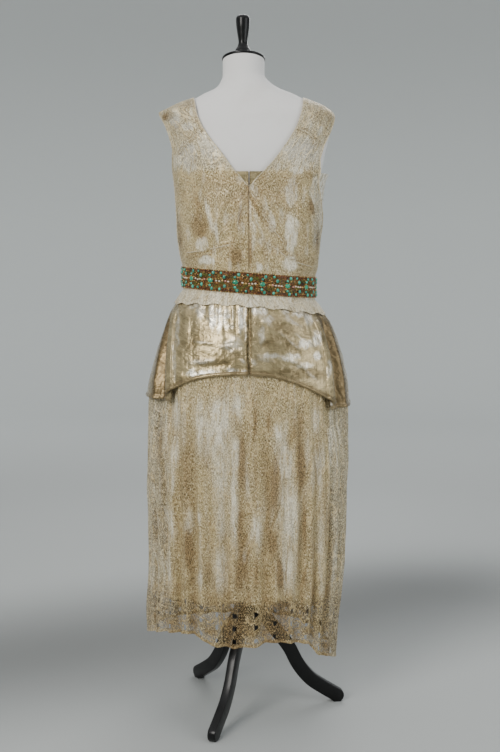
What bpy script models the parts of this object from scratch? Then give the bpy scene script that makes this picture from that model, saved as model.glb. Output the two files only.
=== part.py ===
"""Robe de style of gold lace over ivory satin, on a limbless dress form with a tripod stand.

Metres, +Z up. The back of the dress faces -Y and the wearer's left side is at -X. The floor is z = 0,
and the origin lies under the middle of the whole object. Angles run counter-clockwise seen from above:
0 is the right end (+X), 90 the wearer's front (+Y), 180 the left end and 270 the centre back.
"""

import math
from collections import namedtuple

import bmesh
import bpy
from mathutils import Matrix, Vector

# Driving dimensions
STAND_SHIFT_Y = 0.008
LACE_WALL = 0.0016
SKIRT_WALL = 0.0020
SATIN_WALL = 0.0015
SEAM = 0.0007
LAYER = 0.0026
NECKLINE_POINT_Z = 1.171
SLIP_TOP_Z = 1.201
WAIST_Z = 0.968
WAIST_TILT = 0.078
BELT_HEIGHT = 0.046
BELT_WALL = 0.0020
STONE_COUNT = 16
STONE_LONG = 0.012
STONE_TALL = 0.010
STONE_RISE = 0.003
PEPLUM_TOP_Z = 0.956
SKIRT_TOP_Z = 0.960
SLIP_SKIRT_TOP_Z = 0.962
SLIP_SKIRT_HEM_Z = 0.290
HIP_SQUARENESS = 2.25
FOLD_HALF_ANGLE = 3.2
BODICE_SQUARENESS = 2.0
LACE_HOLE_WIDE = 0.0060
LACE_HOLE_TALL = 0.0110
BELT_CLEARANCE = 0.0010
PLEAT_DEPTH = 0.017
TUCK_DEPTH = 0.0033
NECK_TILT = 0.21
NECK_TOP_Z = 1.443
CAP_RADIUS = 0.0465
CAP_THICK = 0.0065
NECK_LEAN = -0.0115
POST_RADIUS = 0.0125
HUB_RADIUS = 0.027
LEG_THICK = 0.018
LEG_WIDTH = 0.031
FOOT_FLAT_Z = 0.0025
LEG_ANGLES = {"leg_front": 248.6, "leg_back_left": 126.4, "leg_right": 6.4}

Ring = namedtuple("Ring", "z left right back front")
FormRing = namedtuple("FormRing", "z half back front lean")
Edge = namedtuple("Edge", "z left right")
Fold = namedtuple("Fold", "angle depth")
SideColumn = namedtuple("SideColumn", "waist hip")
HemPoint = namedtuple("HemPoint", "angle height")
RollStep = namedtuple("RollStep", "rise out")
LegPoint = namedtuple("LegPoint", "z reach")
Turn = namedtuple("Turn", "radius height")

# Outer face of the lace bodice, level by level from the shoulder point to its lower edge
BODICE = (
    Ring(1.366, 0.118, 0.117, 0.0640, 0.058),
    Ring(1.357, 0.143, 0.140, 0.0685, 0.064),
    Ring(1.349, 0.162, 0.159, 0.0730, 0.070),
    Ring(1.341, 0.179, 0.172, 0.0780, 0.076),
    Ring(1.333, 0.194, 0.181, 0.0820, 0.082),
    Ring(1.318, 0.191, 0.187, 0.0870, 0.088),
    Ring(1.292, 0.184, 0.184, 0.0955, 0.098),
    Ring(1.256, 0.175, 0.176, 0.1050, 0.110),
    Ring(1.205, 0.166, 0.177, 0.1105, 0.123),
    Ring(1.183, 0.163, 0.170, 0.1110, 0.126),
    Ring(1.144, 0.160, 0.165, 0.1115, 0.126),
    Ring(1.105, 0.158, 0.162, 0.1120, 0.123),
    Ring(1.070, 0.157, 0.157, 0.1120, 0.119),
    Ring(1.039, 0.154, 0.153, 0.1125, 0.115),
    Ring(1.010, 0.150, 0.150, 0.1130, 0.111),
    Ring(0.992, 0.1452, 0.1452, 0.1127, 0.1094),
    Ring(0.968, 0.1450, 0.1450, 0.1125, 0.1092),
    Ring(0.943, 0.1452, 0.1452, 0.1128, 0.1095),
    Ring(0.930, 0.1528, 0.1558, 0.1169, 0.1134),
    Ring(0.911, 0.1648, 0.1688, 0.1223, 0.1188),
    Ring(0.900, 0.1719, 0.1759, 0.1258, 0.1223),
)

# Outer face of the satin peplum
PEPLUM = (
    Ring(0.968, 0.1422, 0.1422, 0.1097, 0.1064),
    Ring(0.943, 0.1424, 0.1424, 0.1100, 0.1067),
    Ring(0.930, 0.1491, 0.1520, 0.1132, 0.1097),
    Ring(0.911, 0.1606, 0.1646, 0.1181, 0.1146),
    Ring(0.890, 0.1750, 0.1780, 0.1260, 0.1220),
    Ring(0.844, 0.1940, 0.1940, 0.1370, 0.1350),
    Ring(0.791, 0.2100, 0.2100, 0.1440, 0.1470),
    Ring(0.740, 0.2230, 0.2200, 0.1490, 0.1560),
    Ring(0.680, 0.2300, 0.2250, 0.1520, 0.1630),
)

# Crests of the lace skirt's folds
SKIRT = (
    Ring(0.968, 0.1394, 0.1394, 0.1069, 0.1036),
    Ring(0.943, 0.1394, 0.1394, 0.1070, 0.1037),
    Ring(0.930, 0.1448, 0.1473, 0.1092, 0.1057),
    Ring(0.911, 0.1565, 0.1600, 0.1145, 0.1110),
    Ring(0.890, 0.1695, 0.1725, 0.1215, 0.1175),
    Ring(0.844, 0.1885, 0.1885, 0.1320, 0.1300),
    Ring(0.791, 0.2045, 0.2045, 0.1390, 0.1420),
    Ring(0.740, 0.2175, 0.2145, 0.1440, 0.1510),
    Ring(0.700, 0.2235, 0.2190, 0.1470, 0.1570),
    Ring(0.592, 0.2250, 0.2210, 0.1490, 0.1630),
    Ring(0.512, 0.2275, 0.2190, 0.1500, 0.1660),
    Ring(0.432, 0.2260, 0.2180, 0.1510, 0.1680),
    Ring(0.341, 0.2265, 0.2150, 0.1520, 0.1700),
    Ring(0.272, 0.2290, 0.2090, 0.1530, 0.1710),
    Ring(0.190, 0.2310, 0.2010, 0.1530, 0.1720),
    Ring(0.100, 0.2310, 0.1970, 0.1530, 0.1720),
)

# Crests of the satin slip's skirt, which hangs inside the lace skirt
SLIP_SKIRT = (
    Ring(0.968, 0.1360, 0.1360, 0.1035, 0.1002),
    Ring(0.943, 0.1358, 0.1358, 0.1035, 0.1001),
    Ring(0.930, 0.1392, 0.1412, 0.1048, 0.1013),
    Ring(0.885, 0.1580, 0.1590, 0.1120, 0.1080),
    Ring(0.850, 0.1700, 0.1690, 0.1180, 0.1160),
    Ring(0.790, 0.1840, 0.1830, 0.1225, 0.1250),
    Ring(0.700, 0.1960, 0.1930, 0.1260, 0.1360),
    Ring(0.500, 0.2060, 0.1960, 0.1310, 0.1450),
    Ring(0.280, 0.2090, 0.1870, 0.1330, 0.1500),
)

# Outer face of the dress form, from the cut of the neck to the flat base
FORM = (
    FormRing(1.443, 0.0450, 0.0450, 0.0430, NECK_LEAN),
    FormRing(1.413, 0.0450, 0.0460, 0.0435, NECK_LEAN),
    FormRing(1.397, 0.0540, 0.0500, 0.0460, -0.0080),
    FormRing(1.384, 0.0700, 0.0540, 0.0490, -0.0035),
    FormRing(1.3720, 0.0990, 0.0580, 0.0530, -0.0010),
    FormRing(1.3636, 0.1145, 0.0610, 0.0555, 0.0000),
    FormRing(1.3546, 0.1375, 0.0655, 0.0615, 0.0000),
    FormRing(1.3466, 0.1565, 0.0700, 0.0670, 0.0000),
    FormRing(1.3386, 0.1695, 0.0745, 0.0725, 0.0000),
    FormRing(1.3300, 0.1760, 0.0780, 0.0780, 0.0000),
    FormRing(1.3180, 0.1785, 0.0825, 0.0835, 0.0000),
    FormRing(1.290, 0.1755, 0.0900, 0.0920, 0.0000),
    FormRing(1.250, 0.1660, 0.1000, 0.1060, 0.0000),
    FormRing(1.200, 0.1570, 0.1040, 0.1175, 0.0000),
    FormRing(1.140, 0.1490, 0.1030, 0.1195, 0.0000),
    FormRing(1.060, 0.1400, 0.0990, 0.1100, 0.0000),
    FormRing(0.980, 0.1320, 0.0970, 0.0970, 0.0000),
    FormRing(0.920, 0.1340, 0.0990, 0.0970, 0.0000),
    FormRing(0.860, 0.1480, 0.1080, 0.1060, 0.0000),
    FormRing(0.800, 0.1560, 0.1130, 0.1110, 0.0000),
    FormRing(0.750, 0.1540, 0.1110, 0.1090, 0.0000),
)

# Distance from the centre line to the back neckline, and to the front one
BACK_NECKLINE = (
    Edge(1.362, 0.1180, 0.1165),
    Edge(1.343, 0.1135, 0.1140),
    Edge(1.325, 0.1100, 0.1100),
    Edge(1.298, 0.0990, 0.1010),
    Edge(1.270, 0.0810, 0.0850),
    Edge(1.237, 0.0550, 0.0620),
    Edge(1.209, 0.0350, 0.0380),
    Edge(1.190, 0.0180, 0.0190),
    Edge(NECKLINE_POINT_Z, 0.0030, 0.0030),
)
FRONT_NECKLINE = (
    Edge(1.362, 0.1180, 0.1165),
    Edge(1.343, 0.1150, 0.1140),
    Edge(1.320, 0.1070, 0.1070),
    Edge(1.295, 0.0950, 0.0950),
    Edge(1.270, 0.0740, 0.0740),
    Edge(1.250, 0.0480, 0.0480),
)

# Angle from the nearer end of the ring, left or right, at which the armhole cuts it
ARMHOLE = (
    Edge(1.333, 0.0, 0.0),
    Edge(1.318, 11.0, 10.0),
    Edge(1.292, 18.0, 17.0),
    Edge(1.256, 20.0, 25.0),
    Edge(1.225, 12.0, 31.0),
    Edge(1.195, 0.0, 30.0),
    Edge(1.144, 0.0, 20.0),
    Edge(1.105, 0.0, 9.0),
    Edge(1.075, 0.0, 0.0),
)

# Side edges of the peplum's back panels, as angles
PEPLUM_EDGE = (
    Edge(0.956, 188.0, 329.0),
    Edge(0.900, 194.0, 329.0),
    Edge(0.840, 207.0, 328.0),
    Edge(0.790, 213.0, 327.0),
    Edge(0.735, 219.0, 325.0),
    Edge(0.690, 221.0, 325.0),
)

# Valleys of the lace skirt's folds, each with its depth at the hem
BACK_FOLDS = (
    Fold(193.0, 0.008),
    Fold(205.0, 0.010),
    Fold(217.5, 0.012),
    Fold(230.0, 0.009),
    Fold(241.0, 0.011),
    Fold(250.5, 0.008),
    Fold(259.5, 0.013),
    Fold(268.0, 0.009),
    Fold(278.0, 0.013),
    Fold(288.5, 0.008),
    Fold(299.0, 0.012),
    Fold(311.0, 0.010),
    Fold(324.0, 0.012),
    Fold(337.0, 0.009),
    Fold(348.0, 0.007),
)
FRONT_FOLDS = (
    Fold(14.0, 0.009),
    Fold(25.0, 0.012),
    Fold(36.5, 0.009),
    Fold(49.0, 0.011),
    Fold(60.0, 0.008),
    Fold(71.5, 0.012),
    Fold(82.0, 0.009),
    Fold(93.0, 0.012),
    Fold(103.5, 0.008),
    Fold(115.0, 0.011),
    Fold(127.0, 0.009),
    Fold(140.0, 0.012),
    Fold(153.0, 0.009),
    Fold(165.0, 0.010),
)

# Height of the lace skirt's hem at each angle
HEM_LINE = (
    HemPoint(0.0, 0.116),
    HemPoint(25.0, 0.130),
    HemPoint(60.0, 0.158),
    HemPoint(90.0, 0.162),
    HemPoint(130.0, 0.168),
    HemPoint(180.0, 0.178),
    HemPoint(205.0, 0.198),
    HemPoint(238.0, 0.212),
    HemPoint(246.0, 0.204),
    HemPoint(252.0, 0.190),
    HemPoint(264.0, 0.187),
    HemPoint(274.0, 0.190),
    HemPoint(281.0, 0.199),
    HemPoint(298.0, 0.193),
    HemPoint(308.5, 0.187),
    HemPoint(312.5, 0.176),
    HemPoint(316.0, 0.160),
    HemPoint(322.0, 0.152),
    HemPoint(332.0, 0.144),
    HemPoint(345.0, 0.130),
    HemPoint(360.0, 0.116),
)

# Columns at each end of the peplum's front panel, in degrees out from the back panel's side edge
SIDE_COLUMNS = (
    SideColumn(0.4, -4.5),
    SideColumn(1.4, -1.5),
    SideColumn(2.6, 1.2),
    SideColumn(5.0, 4.0),
    SideColumn(8.0, 7.5),
    SideColumn(11.5, 11.0),
    SideColumn(16.0, 16.0),
)

# Rolled hem of the peplum, from its lower edge up
HEM_ROLL = (
    RollStep(0.0000, 0.0008),
    RollStep(0.0018, 0.0028),
    RollStep(0.0052, 0.0024),
    RollStep(0.0080, 0.0000),
)

# Centre line of a leg in its own upright plane
LEG_LINE = (
    LegPoint(0.240, 0.014),
    LegPoint(0.217, 0.030),
    LegPoint(0.193, 0.048),
    LegPoint(0.136, 0.091),
    LegPoint(0.095, 0.112),
    LegPoint(0.058, 0.141),
    LegPoint(0.033, 0.176),
    LegPoint(0.0150, 0.205),
)

# Profiles of the turned pieces, top first
FINIAL_PROFILE = (
    Turn(0.0085, 1.5390),
    Turn(0.0130, 1.5365),
    Turn(0.0150, 1.5310),
    Turn(0.0146, 1.5200),
    Turn(0.0120, 1.5000),
    Turn(0.0096, 1.4820),
    Turn(0.0112, 1.4750),
    Turn(0.0165, 1.4650),
    Turn(0.0172, 1.4600),
    Turn(0.0172, 1.4500),
)
POST_PROFILE = (
    Turn(POST_RADIUS * 2.2, 0.7494),
    Turn(POST_RADIUS * 2.2, 0.7400),
    Turn(POST_RADIUS, 0.7340),
    Turn(POST_RADIUS, 0.2720),
    Turn(HUB_RADIUS, 0.2600),
    Turn(HUB_RADIUS, 0.1750),
    Turn(HUB_RADIUS * 0.8, 0.1680),
)

# Levels of the rows of points in each piece, and how many columns each part of it has
WAIST_LEVELS = (0.930, 0.943, 0.992, 1.030, 1.075, 1.100, 1.125, NECKLINE_POINT_Z, 1.201)
BACK_NECK_LEVELS = (1.235, 1.270, 1.300, 1.320, 1.333, 1.345, 1.356, 1.362)
FRONT_SCOOP_Z = 1.250
FRONT_STRAP_LEVELS = (FRONT_SCOOP_Z, 1.270, 1.300, 1.320, 1.333, 1.345, 1.356, 1.362)
SLIP_LEVELS = (0.967, 0.992, 1.030, 1.075, 1.100, 1.125, NECKLINE_POINT_Z, SLIP_TOP_Z)
PEPLUM_LEVELS = (0.844, 0.885, 0.911, 0.930, 0.943, PEPLUM_TOP_Z)
LOW_SHARES = (0.36, 0.70)
SKIRT_LEVELS = (0.500, 0.700, 0.800, 0.885, 0.930, 0.943, SKIRT_TOP_Z)
SLIP_SKIRT_LEVELS = (SLIP_SKIRT_HEM_Z, 0.500, 0.700, 0.800, 0.885, 0.930, 0.943, SLIP_SKIRT_TOP_Z)
HEM_BAND = (0.0, 0.030, 0.058, 0.086)
BODICE_BACK_COLUMNS = 10
FRONT_STRAP_COLUMNS = 8
FRONT_NECK_COLUMNS = 4
FRONT_SCOOP_ANGLE = 72.5
BACK_SHARES = (0.0, 0.06, 0.12, 0.15, 0.26, 0.40, 0.55, 0.70, 0.85, 1.0)
FRONT_MIDDLE_COLUMNS = 17
SLIP_SKIRT_COLUMNS = 22
FORM_COLUMNS = 28


def smooth(rows, column, z, key="z"):
    """Value of one named column at a height or angle, on a monotone curve through the table's rows."""
    points = sorted((getattr(row, key), getattr(row, column)) for row in rows)
    if z <= points[0][0]:
        return points[0][1]
    if z >= points[-1][0]:
        return points[-1][1]
    gaps = [b[0] - a[0] for a, b in zip(points, points[1:])]
    rises = [(b[1] - a[1]) / gap for a, b, gap in zip(points, points[1:], gaps)]
    slopes = [rises[0]]
    for before, after in zip(rises, rises[1:]):
        slopes.append(2 * before * after / (before + after) if before * after > 0 else 0.0)
    slopes.append(rises[-1])
    i = max(k for k in range(len(gaps)) if points[k][0] <= z)
    f = (z - points[i][0]) / gaps[i]
    bend = (2 * f**3 - 3 * f**2 + 1) * points[i][1] + (3 * f**2 - 2 * f**3) * points[i + 1][1]
    lean = (f**3 - 2 * f**2 + f) * slopes[i] + (f**3 - f**2) * slopes[i + 1]
    return bend + gaps[i] * lean


def ease(value, low, high):
    """0 below low, 1 above high and a soft step between."""
    f = min(max((value - low) / (high - low), 0.0), 1.0)
    return f * f * (3 - 2 * f)


def waist_lift(z, x):
    """The waistline is higher at the left side, and this fades out above and below the waist."""
    return -WAIST_TILT * x * (1 - ease(abs(z - WAIST_Z), 0.045, 0.120))


def cloth_point(rings, squareness, angle, z, out=0.0):
    """Point at an angle on the ring at a level, moved out along the ring's own normal."""
    c = math.cos(math.radians(angle))
    s = math.sin(math.radians(angle))
    wide = smooth(rings, "right" if c > 0 else "left", z)
    deep = smooth(rings, "front" if s > 0 else "back", z)
    power = 2 / squareness
    x = math.copysign(wide * abs(c) ** power, c)
    y = math.copysign(deep * abs(s) ** power, s)
    across = math.copysign(abs(c) ** (2 - power) / wide, c)
    along = math.copysign(abs(s) ** (2 - power) / deep, s)
    normal = Vector((across, along)).normalized()
    x += out * normal.x
    y += out * normal.y
    return Vector((x, y, z + waist_lift(z, x)))


def material(name, colour, roughness, metallic=0.0):
    made = bpy.data.materials.new(name)
    made.use_nodes = True
    shader = made.node_tree.nodes["Principled BSDF"]
    shader.inputs["Base Color"].default_value = (*colour, 1.0)
    shader.inputs["Roughness"].default_value = roughness
    shader.inputs["Metallic"].default_value = metallic
    return made


def place(name, mesh, finish, parent):
    """Turns a bmesh into a named object under its parent."""
    data = bpy.data.meshes.new(name)
    mesh.to_mesh(data)
    mesh.free()
    data.shade_smooth()
    data.set_sharp_from_angle(angle=math.radians(35))
    data.materials.append(finish)
    made = bpy.data.objects.new(name, data)
    bpy.context.scene.collection.objects.link(made)
    made.parent = parent
    return made


def thicken(made, wall):
    """Gives a sheet its wall, inwards from the outer face."""
    solid = made.modifiers.new("Wall", "SOLIDIFY")
    solid.thickness = wall
    solid.offset = -1.0
    solid.use_rim = True
    return made


def open_seams(rows):
    """Moves the first and last column of a panel back by half a seam gap."""
    for row in rows:
        for end, beside in ((0, 1), (-1, -2)):
            way = (row[beside] - row[end]).normalized()
            row[end] = row[end] + way * (SEAM / 2)
    return rows


def add_grid(mesh, rows):
    """Quads between rows of points, bottom row first, each row counter-clockwise."""
    grid = [[mesh.verts.new(point) for point in row] for row in rows]
    faces = []
    for low, high in zip(grid, grid[1:]):
        for i in range(len(low) - 1):
            faces.append(mesh.faces.new((low[i], low[i + 1], high[i + 1], high[i])))
    return faces


def pierce(mesh, faces):
    """Cuts an upright oblong hole in the middle of each face."""
    bmesh.ops.inset_individual(mesh, faces=faces, thickness=0.0005)
    for face in faces:
        centre = face.calc_center_median()
        low, right, high, left = (edge_middle(face, k) for k in range(4))
        across = (right - left).normalized() * (LACE_HOLE_WIDE / 2)
        upward = (high - low).normalized() * (LACE_HOLE_TALL / 2)
        signs = ((-1, -1), (1, -1), (1, 1), (-1, 1))
        for loop, (u, v) in zip(face.loops, signs):
            loop.vert.co = centre + across * u + upward * v
    bmesh.ops.delete(mesh, geom=faces, context="FACES")


def edge_middle(face, k):
    """Middle of the side of a face that starts at its corner k."""
    loop = face.loops[k]
    return (loop.vert.co + loop.link_loop_next.vert.co) / 2


def panel(name, rows, wall, finish, parent, holes=()):
    """One cut piece of cloth as a wall. Holes are (row, column) pairs."""
    mesh = bmesh.new()
    faces = add_grid(mesh, rows)
    columns = len(rows[0]) - 1
    if holes:
        pierce(mesh, [faces[row * columns + column] for row, column in holes])
    return thicken(place(name, mesh, finish, parent), wall)


def between(start, end, count):
    return [start + (end - start) * i / count for i in range(count + 1)]


def clipped(angles, low, high, least=1.2):
    """Pushes column angles inside two edges, closer together where an edge cuts them."""
    last = len(angles) - 1
    found = [max(angle, low + least * i) for i, angle in enumerate(angles)]
    return [min(angle, high - least * (last - i)) for i, angle in enumerate(found)]


def armhole_angle(z, side):
    return smooth(ARMHOLE, side, z)


def edge_angle(rings, z, x):
    """Angle on the back half at which the ring at a level reaches a distance from the centre line."""
    side = "right" if x > 0 else "left"
    return 270 + math.copysign(math.degrees(math.asin(min(abs(x) / smooth(rings, side, z), 1.0))), x)


def bodice_hem(angle):
    """Level of the lace bodice's lower edge, in small scallops that drop towards the sides."""
    side = math.cos(math.radians(angle)) ** 2
    return 0.920 - 0.010 * side - 0.002 * math.cos(math.radians(angle * 20))


def bodice_ridge(x, z):
    """How far the lace stands out in soft ridges that run down from the centre back point."""
    drop = max(NECKLINE_POINT_Z - z, 0.0)
    height = 0.0055 * ease(drop, 0.0, 0.05) * ease(z, 1.0, 1.06)
    spread = 0.35 * drop
    near = 0.0
    for crest in (0.016 + spread * 0.2, 0.042 + spread):
        near += math.exp(-(((abs(x) - crest) / 0.011) ** 2))
    return height * min(near, 1.0)


def bodice_back_rows(side):
    """Rows of a back half, from the scalloped edge to the shoulder seam."""
    rows = []
    sign = 1 if side == "right" else -1
    end = 360.0 if side == "right" else 180.0
    start = min(end, 270.0)
    for level in (None, *WAIST_LEVELS, *BACK_NECK_LEVELS):
        row = []
        z = level or 0.915
        centre = sign * (smooth(BACK_NECKLINE, side, z) if z > NECKLINE_POINT_Z else 0.0)
        inner = edge_angle(BODICE, z, centre) if z > NECKLINE_POINT_Z else 270.0
        hole = armhole_angle(z, side) if z < 1.333 else 0.0
        outer = end - sign * hole
        columns = between(start, start + 90.0, BODICE_BACK_COLUMNS)
        for angle in clipped(columns, min(inner, outer), max(inner, outer)):
            height = z if level else bodice_hem(angle)
            flat = cloth_point(BODICE, BODICE_SQUARENESS, angle, height)
            row.append(cloth_point(BODICE, BODICE_SQUARENESS, angle, height, bodice_ridge(flat.x, height)))
        rows.append(row)
    return open_seams(rows)


def make_bodice_back(side, finish, parent):
    panel("lace_bodice_back_" + side, bodice_back_rows(side), LACE_WALL, finish, parent)


def front_angle(rings, z, x):
    side = "right" if x > 0 else "left"
    return 90 - math.copysign(math.degrees(math.asin(min(abs(x) / smooth(rings, side, z), 1.0))), x)


def strap_angles(side, z):
    """Column angles of a front shoulder piece at a level, counter-clockwise."""
    sign = 1 if side == "right" else -1
    neck = front_angle(BODICE, z, sign * smooth(FRONT_NECKLINE, side, z))
    if z <= FRONT_SCOOP_Z:
        neck = FRONT_SCOOP_ANGLE if side == "right" else 180.0 - FRONT_SCOOP_ANGLE
    hole = armhole_angle(z, side) if z < 1.333 else 0.0
    wide = FRONT_SCOOP_ANGLE if z <= FRONT_SCOOP_Z else neck if side == "right" else 180.0 - neck
    if side == "right":
        return clipped(between(0.0, wide, FRONT_STRAP_COLUMNS), hole, neck)
    return clipped(between(180.0 - wide, 180.0, FRONT_STRAP_COLUMNS), neck, 180.0 - hole)


def make_bodice_front(finish, parent):
    """The front is one piece: a band below the neckline with a shoulder piece at each side."""
    mesh = bmesh.new()
    rows = []
    for level in (None, *WAIST_LEVELS, FRONT_SCOOP_Z):
        z = level or 0.915
        right = strap_angles("right", z)
        left = strap_angles("left", z)
        middle = between(right[-1], left[0], FRONT_NECK_COLUMNS)
        row = []
        for angle in right + middle[1:-1] + left:
            height = z if level else bodice_hem(angle)
            row.append(cloth_point(BODICE, BODICE_SQUARENESS, angle, height))
        rows.append(row)
    add_grid(mesh, open_seams(rows))
    for side in ("right", "left"):
        strap = []
        for z in FRONT_STRAP_LEVELS:
            angles = strap_angles(side, z)
            strap.append([cloth_point(BODICE, BODICE_SQUARENESS, angle, z) for angle in angles])
        outer = 0 if side == "right" else -1
        beside = 1 if side == "right" else -2
        for row in strap:
            row[outer] += (row[beside] - row[outer]).normalized() * (SEAM / 2)
        add_grid(mesh, strap)
    bmesh.ops.remove_doubles(mesh, verts=mesh.verts, dist=0.00005)
    thicken(place("lace_bodice_front", mesh, finish, parent), LACE_WALL)


def make_slip_top(name, start, end, columns, finish, parent, gape=0.0):
    """A piece of the satin under-bodice, with a straight top edge."""
    rows = []
    for z in SLIP_LEVELS:
        row = []
        spread = math.degrees(gape * ease(z, 1.05, SLIP_TOP_Z) / 0.17)
        low = start + (spread if start == 270.0 else 0.0)
        high = end - (spread if end == 270.0 else 0.0)
        for angle in between(low, high, columns):
            row.append(cloth_point(BODICE, BODICE_SQUARENESS, angle, z, -LAYER))
        rows.append(row)
    panel(name, open_seams(rows), SATIN_WALL, finish, parent)


def beside_edge(angle, side, z):
    """Degrees from a back panel's side edge, positive away from the centre back."""
    turn = (angle - smooth(PEPLUM_EDGE, side, z) + 180) % 360 - 180
    return turn if side == "right" else -turn


def pleat_dip(angle, z):
    """Depth of the deep hollow beside each back panel's edge, and of the tuck that runs under it."""
    hollow = PLEAT_DEPTH * ease(0.925 - z, 0.0, 0.09)
    tuck = TUCK_DEPTH * ease(0.930 - z, 0.0, 0.034)
    deepest = 0.0
    for side in ("left", "right"):
        away = beside_edge(angle, side, z)
        if -15.0 < away < 0.0:
            dip = tuck
        elif 0.0 <= away < 7.5:
            dip = tuck + max(hollow - tuck, 0.0) * ease(away, 0.0, 7.5)
        elif 7.5 <= away < 16.0:
            dip = max(hollow, tuck) * (1 - ease(away, 7.5, 16.0))
        else:
            dip = 0.0
        deepest = max(deepest, dip)
    return deepest


def peplum_hem(angle):
    """Height of the back panels' hem, which drops from the centre back to their side corners."""
    x = math.cos(math.radians(angle)) * 0.226
    if x < 0:
        return 0.776 - 0.041 * (abs(x) / 0.174) ** 2.6
    return 0.776 - 0.065 * (x / 0.183) ** 1.8


def side_hem(angle):
    """Height of the front panel's hem, lowest at the sides and raised at the centre front."""
    front = ease(math.sin(math.radians(angle)), 0.1, 1.0)
    low = 0.697 if math.cos(math.radians(angle)) > 0 else 0.717
    return low + (0.770 - low) * front


def squareness_at(z):
    """The ring is an ellipse at the waist and squarer from the hips down."""
    return BODICE_SQUARENESS + (HIP_SQUARENESS - BODICE_SQUARENESS) * ease(0.93 - z, 0.0, 0.12)


def peplum_rows(angles_at, hem_at, out_at):
    """Rows of a peplum piece. The four lowest make the rolled hem, and the upper ones are level."""
    hems = [hem_at(angle) for angle in angles_at(0.75)]
    heights = [[(hem + step.rise, step.out) for hem in hems] for step in HEM_ROLL]
    above = HEM_ROLL[-1].rise
    for share in LOW_SHARES:
        heights.append([(hem + above + (PEPLUM_LEVELS[0] - hem - above) * share, 0.0) for hem in hems])
    heights += [[(level, 0.0)] * len(hems) for level in PEPLUM_LEVELS]
    rows = []
    for line in heights:
        row = []
        for column, (z, roll) in enumerate(line):
            angle = angles_at(z)[column]
            out = roll + out_at(column, angle, z)
            row.append(cloth_point(PEPLUM, squareness_at(z), angle, z, out))
        rows.append(row)
    return open_seams(rows)


def make_peplum_back(side, finish, parent):
    """A back half with a knife pleat near its side edge. Its centre edge gapes above the hem."""

    def angles(z):
        edge = smooth(PEPLUM_EDGE, side, z)
        gape = 0.6 * ease(z, 0.79, 0.82) * ease(0.945 - z, 0.0, 0.03)
        centre = 270.0 - gape if side == "left" else 270.0 + gape
        found = [edge + (centre - edge) * share for share in BACK_SHARES]
        return found if side == "left" else found[::-1]

    def out(column, angle, z):
        index = column if side == "left" else len(BACK_SHARES) - 1 - column
        fade = ease(0.905 - z, 0.0, 0.02)
        return 0.0035 * fade if index in (1, 2) else 0.0

    panel("peplum_back_" + side, peplum_rows(angles, peplum_hem, out), SATIN_WALL, finish, parent)


def make_peplum_front(finish, parent):
    """The front and both sides in one piece. From the hips down its ends run under the back panels."""

    def angles(z):
        hip = ease(0.905 - z, 0.0, 0.03)
        aways = [column.waist + (column.hip - column.waist) * hip for column in SIDE_COLUMNS]
        first = [smooth(PEPLUM_EDGE, "right", z) - 360 + away for away in aways]
        last = [smooth(PEPLUM_EDGE, "left", z) - away for away in reversed(aways)]
        return first + between(first[-1], last[0], FRONT_MIDDLE_COLUMNS)[1:-1] + last

    def out(column, angle, z):
        soft = 0.003 * math.sin(math.radians(angle * 14)) * ease(0.90 - z, 0.0, 0.08)
        calm = ease(math.sin(math.radians(angle)), -0.2, 0.1)
        return soft * calm - pleat_dip(angle, z)

    panel("peplum_front", peplum_rows(angles, side_hem, out), SATIN_WALL, finish, parent)


def skirt_hem(angle):
    return smooth(HEM_LINE, "height", angle, "angle")


def fold_depth(folds, angle, z):
    """Inward reach of the nearest valley: narrow valleys between broad crests."""
    depth = 0.0
    for fold in folds:
        depth += fold.depth * math.exp(-(((angle - fold.angle) / 2.9) ** 2))
    return depth * (0.25 + 0.75 * ease(0.70 - z, 0.0, 0.35)) * ease(0.93 - z, 0.0, 0.10)


def tuck_under(angle, z):
    """Under the peplum the skirt stays clear of the deep hollows."""
    reach = 0.0
    for side in ("left", "right"):
        away = beside_edge(angle, side, z)
        reach = max(reach, ease(away, -13.0, -1.0) * (1 - ease(away, 17.0, 28.0)))
    return 1.06 * PLEAT_DEPTH * reach * ease(0.925 - z, 0.0, 0.09) * ease(z, 0.56, 0.69)


def fold_columns(folds, start, end):
    """Column angles: one in each valley and one at each of its sides."""
    columns = [start, start + FOLD_HALF_ANGLE]
    for fold in folds:
        columns += [fold.angle - FOLD_HALF_ANGLE, fold.angle, fold.angle + FOLD_HALF_ANGLE]
    return columns + [end - FOLD_HALF_ANGLE, end]


def make_lace_skirt(name, folds, start, end, finish, parent):
    """Half of the gathered lace skirt, with the larger gaps of its unlined hem band cut through."""
    angles = fold_columns(folds, start, end)
    rows = [[skirt_point(folds, angle, skirt_hem(angle) + rise) for angle in angles] for rise in HEM_BAND]
    rows += [[skirt_point(folds, angle, level) for angle in angles] for level in SKIRT_LEVELS]
    crests = range(4, len(angles) - 3, 3)
    holes = [(row, column) for row in range(len(HEM_BAND) - 1) for column in crests]
    panel(name, open_seams(rows), SKIRT_WALL, finish, parent, holes)


def skirt_point(folds, angle, z):
    inward = fold_depth(folds, angle, z) + tuck_under(angle, z)
    return cloth_point(SKIRT, squareness_at(z), angle, z, -inward)


def make_slip_skirt(name, start, end, finish, parent):
    """Half of the satin slip's skirt, in soft folds."""
    rows = []
    for z in SLIP_SKIRT_LEVELS:
        row = []
        for angle in between(start, end, SLIP_SKIRT_COLUMNS):
            fold = 0.004 * (1 + math.cos(math.radians(angle * 22))) * ease(0.88 - z, 0.0, 0.3)
            inward = fold + 0.8 * tuck_under(angle, z)
            row.append(cloth_point(SLIP_SKIRT, squareness_at(z), angle, z, -inward))
        rows.append(row)
    panel(name, open_seams(rows), SATIN_WALL, finish, parent)


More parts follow.
